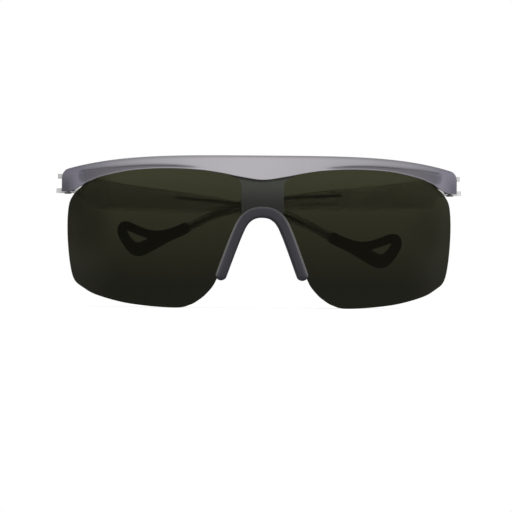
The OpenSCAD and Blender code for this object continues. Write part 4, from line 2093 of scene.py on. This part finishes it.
    def tip(self) -> bpy.types.Object:
        """Looped rubber tip.

        Returns:
            The piece.
        """
        z = self.sizes
        loops = [
            self.hung(self.past(smooth_path(shape, steps=6, closed=True)))
            for shape in (z.tip_shape, z.tip_hole)
        ]
        front, back = self.faces(z.tip_t, z.tip_t)
        count = int(z.tip_l / z.tip_bend_step)
        cuts = [self.blade_l + z.tip_bend_step * k for k in range(count)]
        bm = Bench.plate(loops, cuts, front, back)
        Bench.round_edges(bm, z.tip_round, segments=4)
        return self.piece(bm, "tip_loop", Slot.TIP, self.tip_finish, "rubber_tip")

    def wire(self) -> bpy.types.Object:
        """Steel wire in the end of the blade.

        Returns:
            The piece.
        """
        z, length = self.sizes, self.blade_l
        middle = 0.5 * (z.core_start + z.core_course[0][0] * length)
        points = list(zip((z.core_start, middle), (h * length for h in z.core_head)))
        points += self.along(z.core_course) + self.past(z.core_tail)
        course = [
            Vector((s, math.sqrt(z.bow_r ** 2 - s * s) - z.bow_r, h - self.sag(s)))
            for s, h in smooth_path(points, steps=6)
        ]
        rings = []
        for i, p in enumerate(course):
            a, b = around(course, i)
            along = (b - a).normalized()
            u = Vector((0, 1, 0)).cross(along).normalized()
            v = along.cross(u)
            at_end = i in (0, len(course) - 1)
            thick = z.core_d / 2 * (z.wire_point if at_end else 1.0)
            rings.append([
                p + thick * (math.cos(t) * u + math.sin(t) * v)
                for t in (math.tau * k / z.wire_sides for k in range(z.wire_sides))
            ])
        bm = Bench.loft(rings)
        return self.piece(bm, "wire", Slot.CORE, self.core_finish, "core_wire")

    def build(self) -> None:
        """Builds the arm's three pieces."""
        self.blade()
        self.tip()
        self.wire()


# Small fittings that keep their CAD shape


@dataclass
class Fittings:
    """Pins, bushes, screws, inserts and washers, which only get their finish."""

    core: Material
    dark: Material
    bright: Material
    nylon: Material

    def dress(self) -> None:
        """Gives each fitting its material."""
        parts = {
            "lens_pin": self.bright,
            "knuckle_bush": self.bright,
            "screw_insert": self.bright,
            "hinge_screw": self.dark,
            "upper_washer": self.nylon,
            "lower_washer": self.nylon,
        }
        finishes = {"nose_core": self.core}
        for side in Side:
            finishes |= {f"{side.word}_{part}": look for part, look in parts.items()}
        for name, material in finishes.items():
            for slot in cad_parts[name].material_slots:
                slot.material = material
            LOG.info("%s: dressed", name)


# Studio


@dataclass
class Studio:
    """White studio with a far camera, a soft front light and a pale floor."""

    view_w: float = 0.1813
    distance: float = 4.0
    sensor: float = 36.0
    azimuth: float = -2.2
    roll: float = 0.43
    centre_x: float = -1.51
    centre_z: float = 18.45
    fill: float = 0.42
    key_power: float = 17.0
    key_distance: float = 1.6
    key_height: float = 26.0
    key_turn: float = 9.0
    key_size: Point = (1.5, 0.55)
    key_aim_z: float = 0.03
    floor_r: float = 0.34
    floor_fade: Point = (0.45, 0.98)
    floor_drop: float = 0.00002
    floor_tone: float = 0.8
    floor_glow: float = 0.62
    floor_rough: float = 0.9
    speck: float = 2.0
    speck_base: float = 0.98
    speck_tone: float = 0.04

    def camera(self) -> None:
        """Camera at the photograph's angle."""
        a, roll = math.radians(self.azimuth), math.radians(self.roll)
        back = Vector((math.sin(a), -math.cos(a), 0))
        right = Vector((math.cos(a), math.sin(a), 0))
        up = Vector((0, 0, 1))
        turned_right = right * math.cos(roll) + up * math.sin(roll)
        turned_up = up * math.cos(roll) - right * math.sin(roll)
        target = Vector((self.centre_x * MM, 0, self.centre_z * MM))
        data = bpy.data.cameras.new("camera")
        data.sensor_width = self.sensor
        data.lens = self.sensor * self.distance / self.view_w
        obj = bpy.data.objects.new("camera", data)
        turn = Matrix((turned_right, turned_up, back)).transposed().to_4x4()
        obj.matrix_world = Matrix.Translation(target + back * self.distance) @ turn
        bpy.context.scene.collection.objects.link(obj)
        bpy.context.scene.camera = obj

    def world(self) -> None:
        """White world that lights the object more softly than it looks."""
        world = bpy.data.worlds.new("studio")
        world.use_nodes = True
        bpy.context.scene.world = world
        r = Recipe(world.node_tree)
        path = r.node("ShaderNodeLightPath")
        rays = ("Is Camera Ray", "Is Glossy Ray", "Is Transmission Ray")
        camera, glossy, through = (r.val(path.outputs[name]) for name in rays)
        white = (1, 1, 1, 1)
        soft, plain = (
            r.node("ShaderNodeBackground", inputs={"Color": white, "Strength": power})
            for power in (self.fill, 1.0)
        )
        seen = (camera + glossy + through).clamp()
        mix = r.node("ShaderNodeMixShader", inputs={
            0: seen, 1: soft.outputs[0], 2: plain.outputs[0],
        })
        r.node("ShaderNodeOutputWorld", inputs={"Surface": mix.outputs[0]})

    def key(self) -> None:
        """Large soft light from the front and above."""
        data = bpy.data.lights.new("key", "AREA")
        data.shape = "RECTANGLE"
        data.size, data.size_y = self.key_size
        data.energy = self.key_power
        obj = bpy.data.objects.new("key", data)
        e, a = math.radians(self.key_height), math.radians(self.key_turn)
        ahead = Vector((math.sin(a), -math.cos(a), 0)) * math.cos(e)
        away = ahead + Vector((0, 0, math.sin(e)))
        obj.location = away * self.key_distance + Vector((0, 0, self.key_aim_z))
        obj.rotation_euler = away.to_track_quat("Z", "Y").to_euler()
        bpy.context.scene.collection.objects.link(obj)

    def floor(self) -> None:
        """Pale round floor that fades out and keeps the object's shadow."""
        r, material = Recipe.material("pale_floor")
        x, y, _, place = r.place()
        far = (x * x + y * y) ** 0.5
        keep = 1.0 - far.rise(*(share * self.floor_r / MM for share in self.floor_fade))
        seen = r.val(r.node("ShaderNodeLightPath").outputs["Is Camera Ray"])
        shade = self.speck_base + r.noise(place, self.speck) * self.speck_tone
        plain = r.principled({
            "Base Color": r.scaled((self.floor_tone,) * 3, shade),
            "Roughness": self.floor_rough,
            "Specular IOR Level": 0.0,
            "Emission Color": r.scaled((self.floor_glow,) * 3, seen),
            "Emission Strength": 1.0,
        })
        r.surface(r.see_through(keep, plain, (1, 1, 1)))
        bm = bmesh.new()
        bmesh.ops.create_circle(bm, cap_ends=True, segments=96, radius=self.floor_r)
        bmesh.ops.translate(bm, verts=bm.verts[:], vec=(0, 0, -self.floor_drop))
        floor = Bench.as_object(bm, "pale_floor")
        floor.data.materials.append(material)

    def build(self) -> None:
        """Builds the studio and sets the plain view."""
        self.camera()
        self.world()
        self.key()
        self.floor()
        bpy.context.scene.view_settings.view_transform = "Standard"


def main() -> None:
    """Builds the studio and every piece in order."""
    logging.basicConfig(level=logging.INFO, format="%(message)s")
    layout = Layout()
    line = PadLine(layout)
    Studio().build()
    bar = BrowBar(layout, line)
    bar.build()
    ShieldLens(layout, bar, line).build()
    NosePad(layout, line).build()
    arm = ClearArm(abs(layout.hinge(Side.LEFT).x)).dress()
    core = Metal(Slot.CORE, tone=(0.16, 0.16, 0.165), rough=0.34).dress()
    looks = (arm, core, BlackRubber().dress())
    Temple(layout, Side.LEFT, *looks, sag_degrees=1.9, fold_degrees=3.1).build()
    Temple(layout, Side.RIGHT, *looks).build()
    Fittings(
        core=core,
        dark=Metal(Slot.DARK_STEEL, tone=(0.10, 0.10, 0.105), rough=0.36).dress(),
        bright=Metal(Slot.BRIGHT_STEEL, tone=(0.58, 0.58, 0.60), rough=0.22).dress(),
        nylon=Nylon().dress(),
    ).dress()


if __name__ == "__main__":
    main()
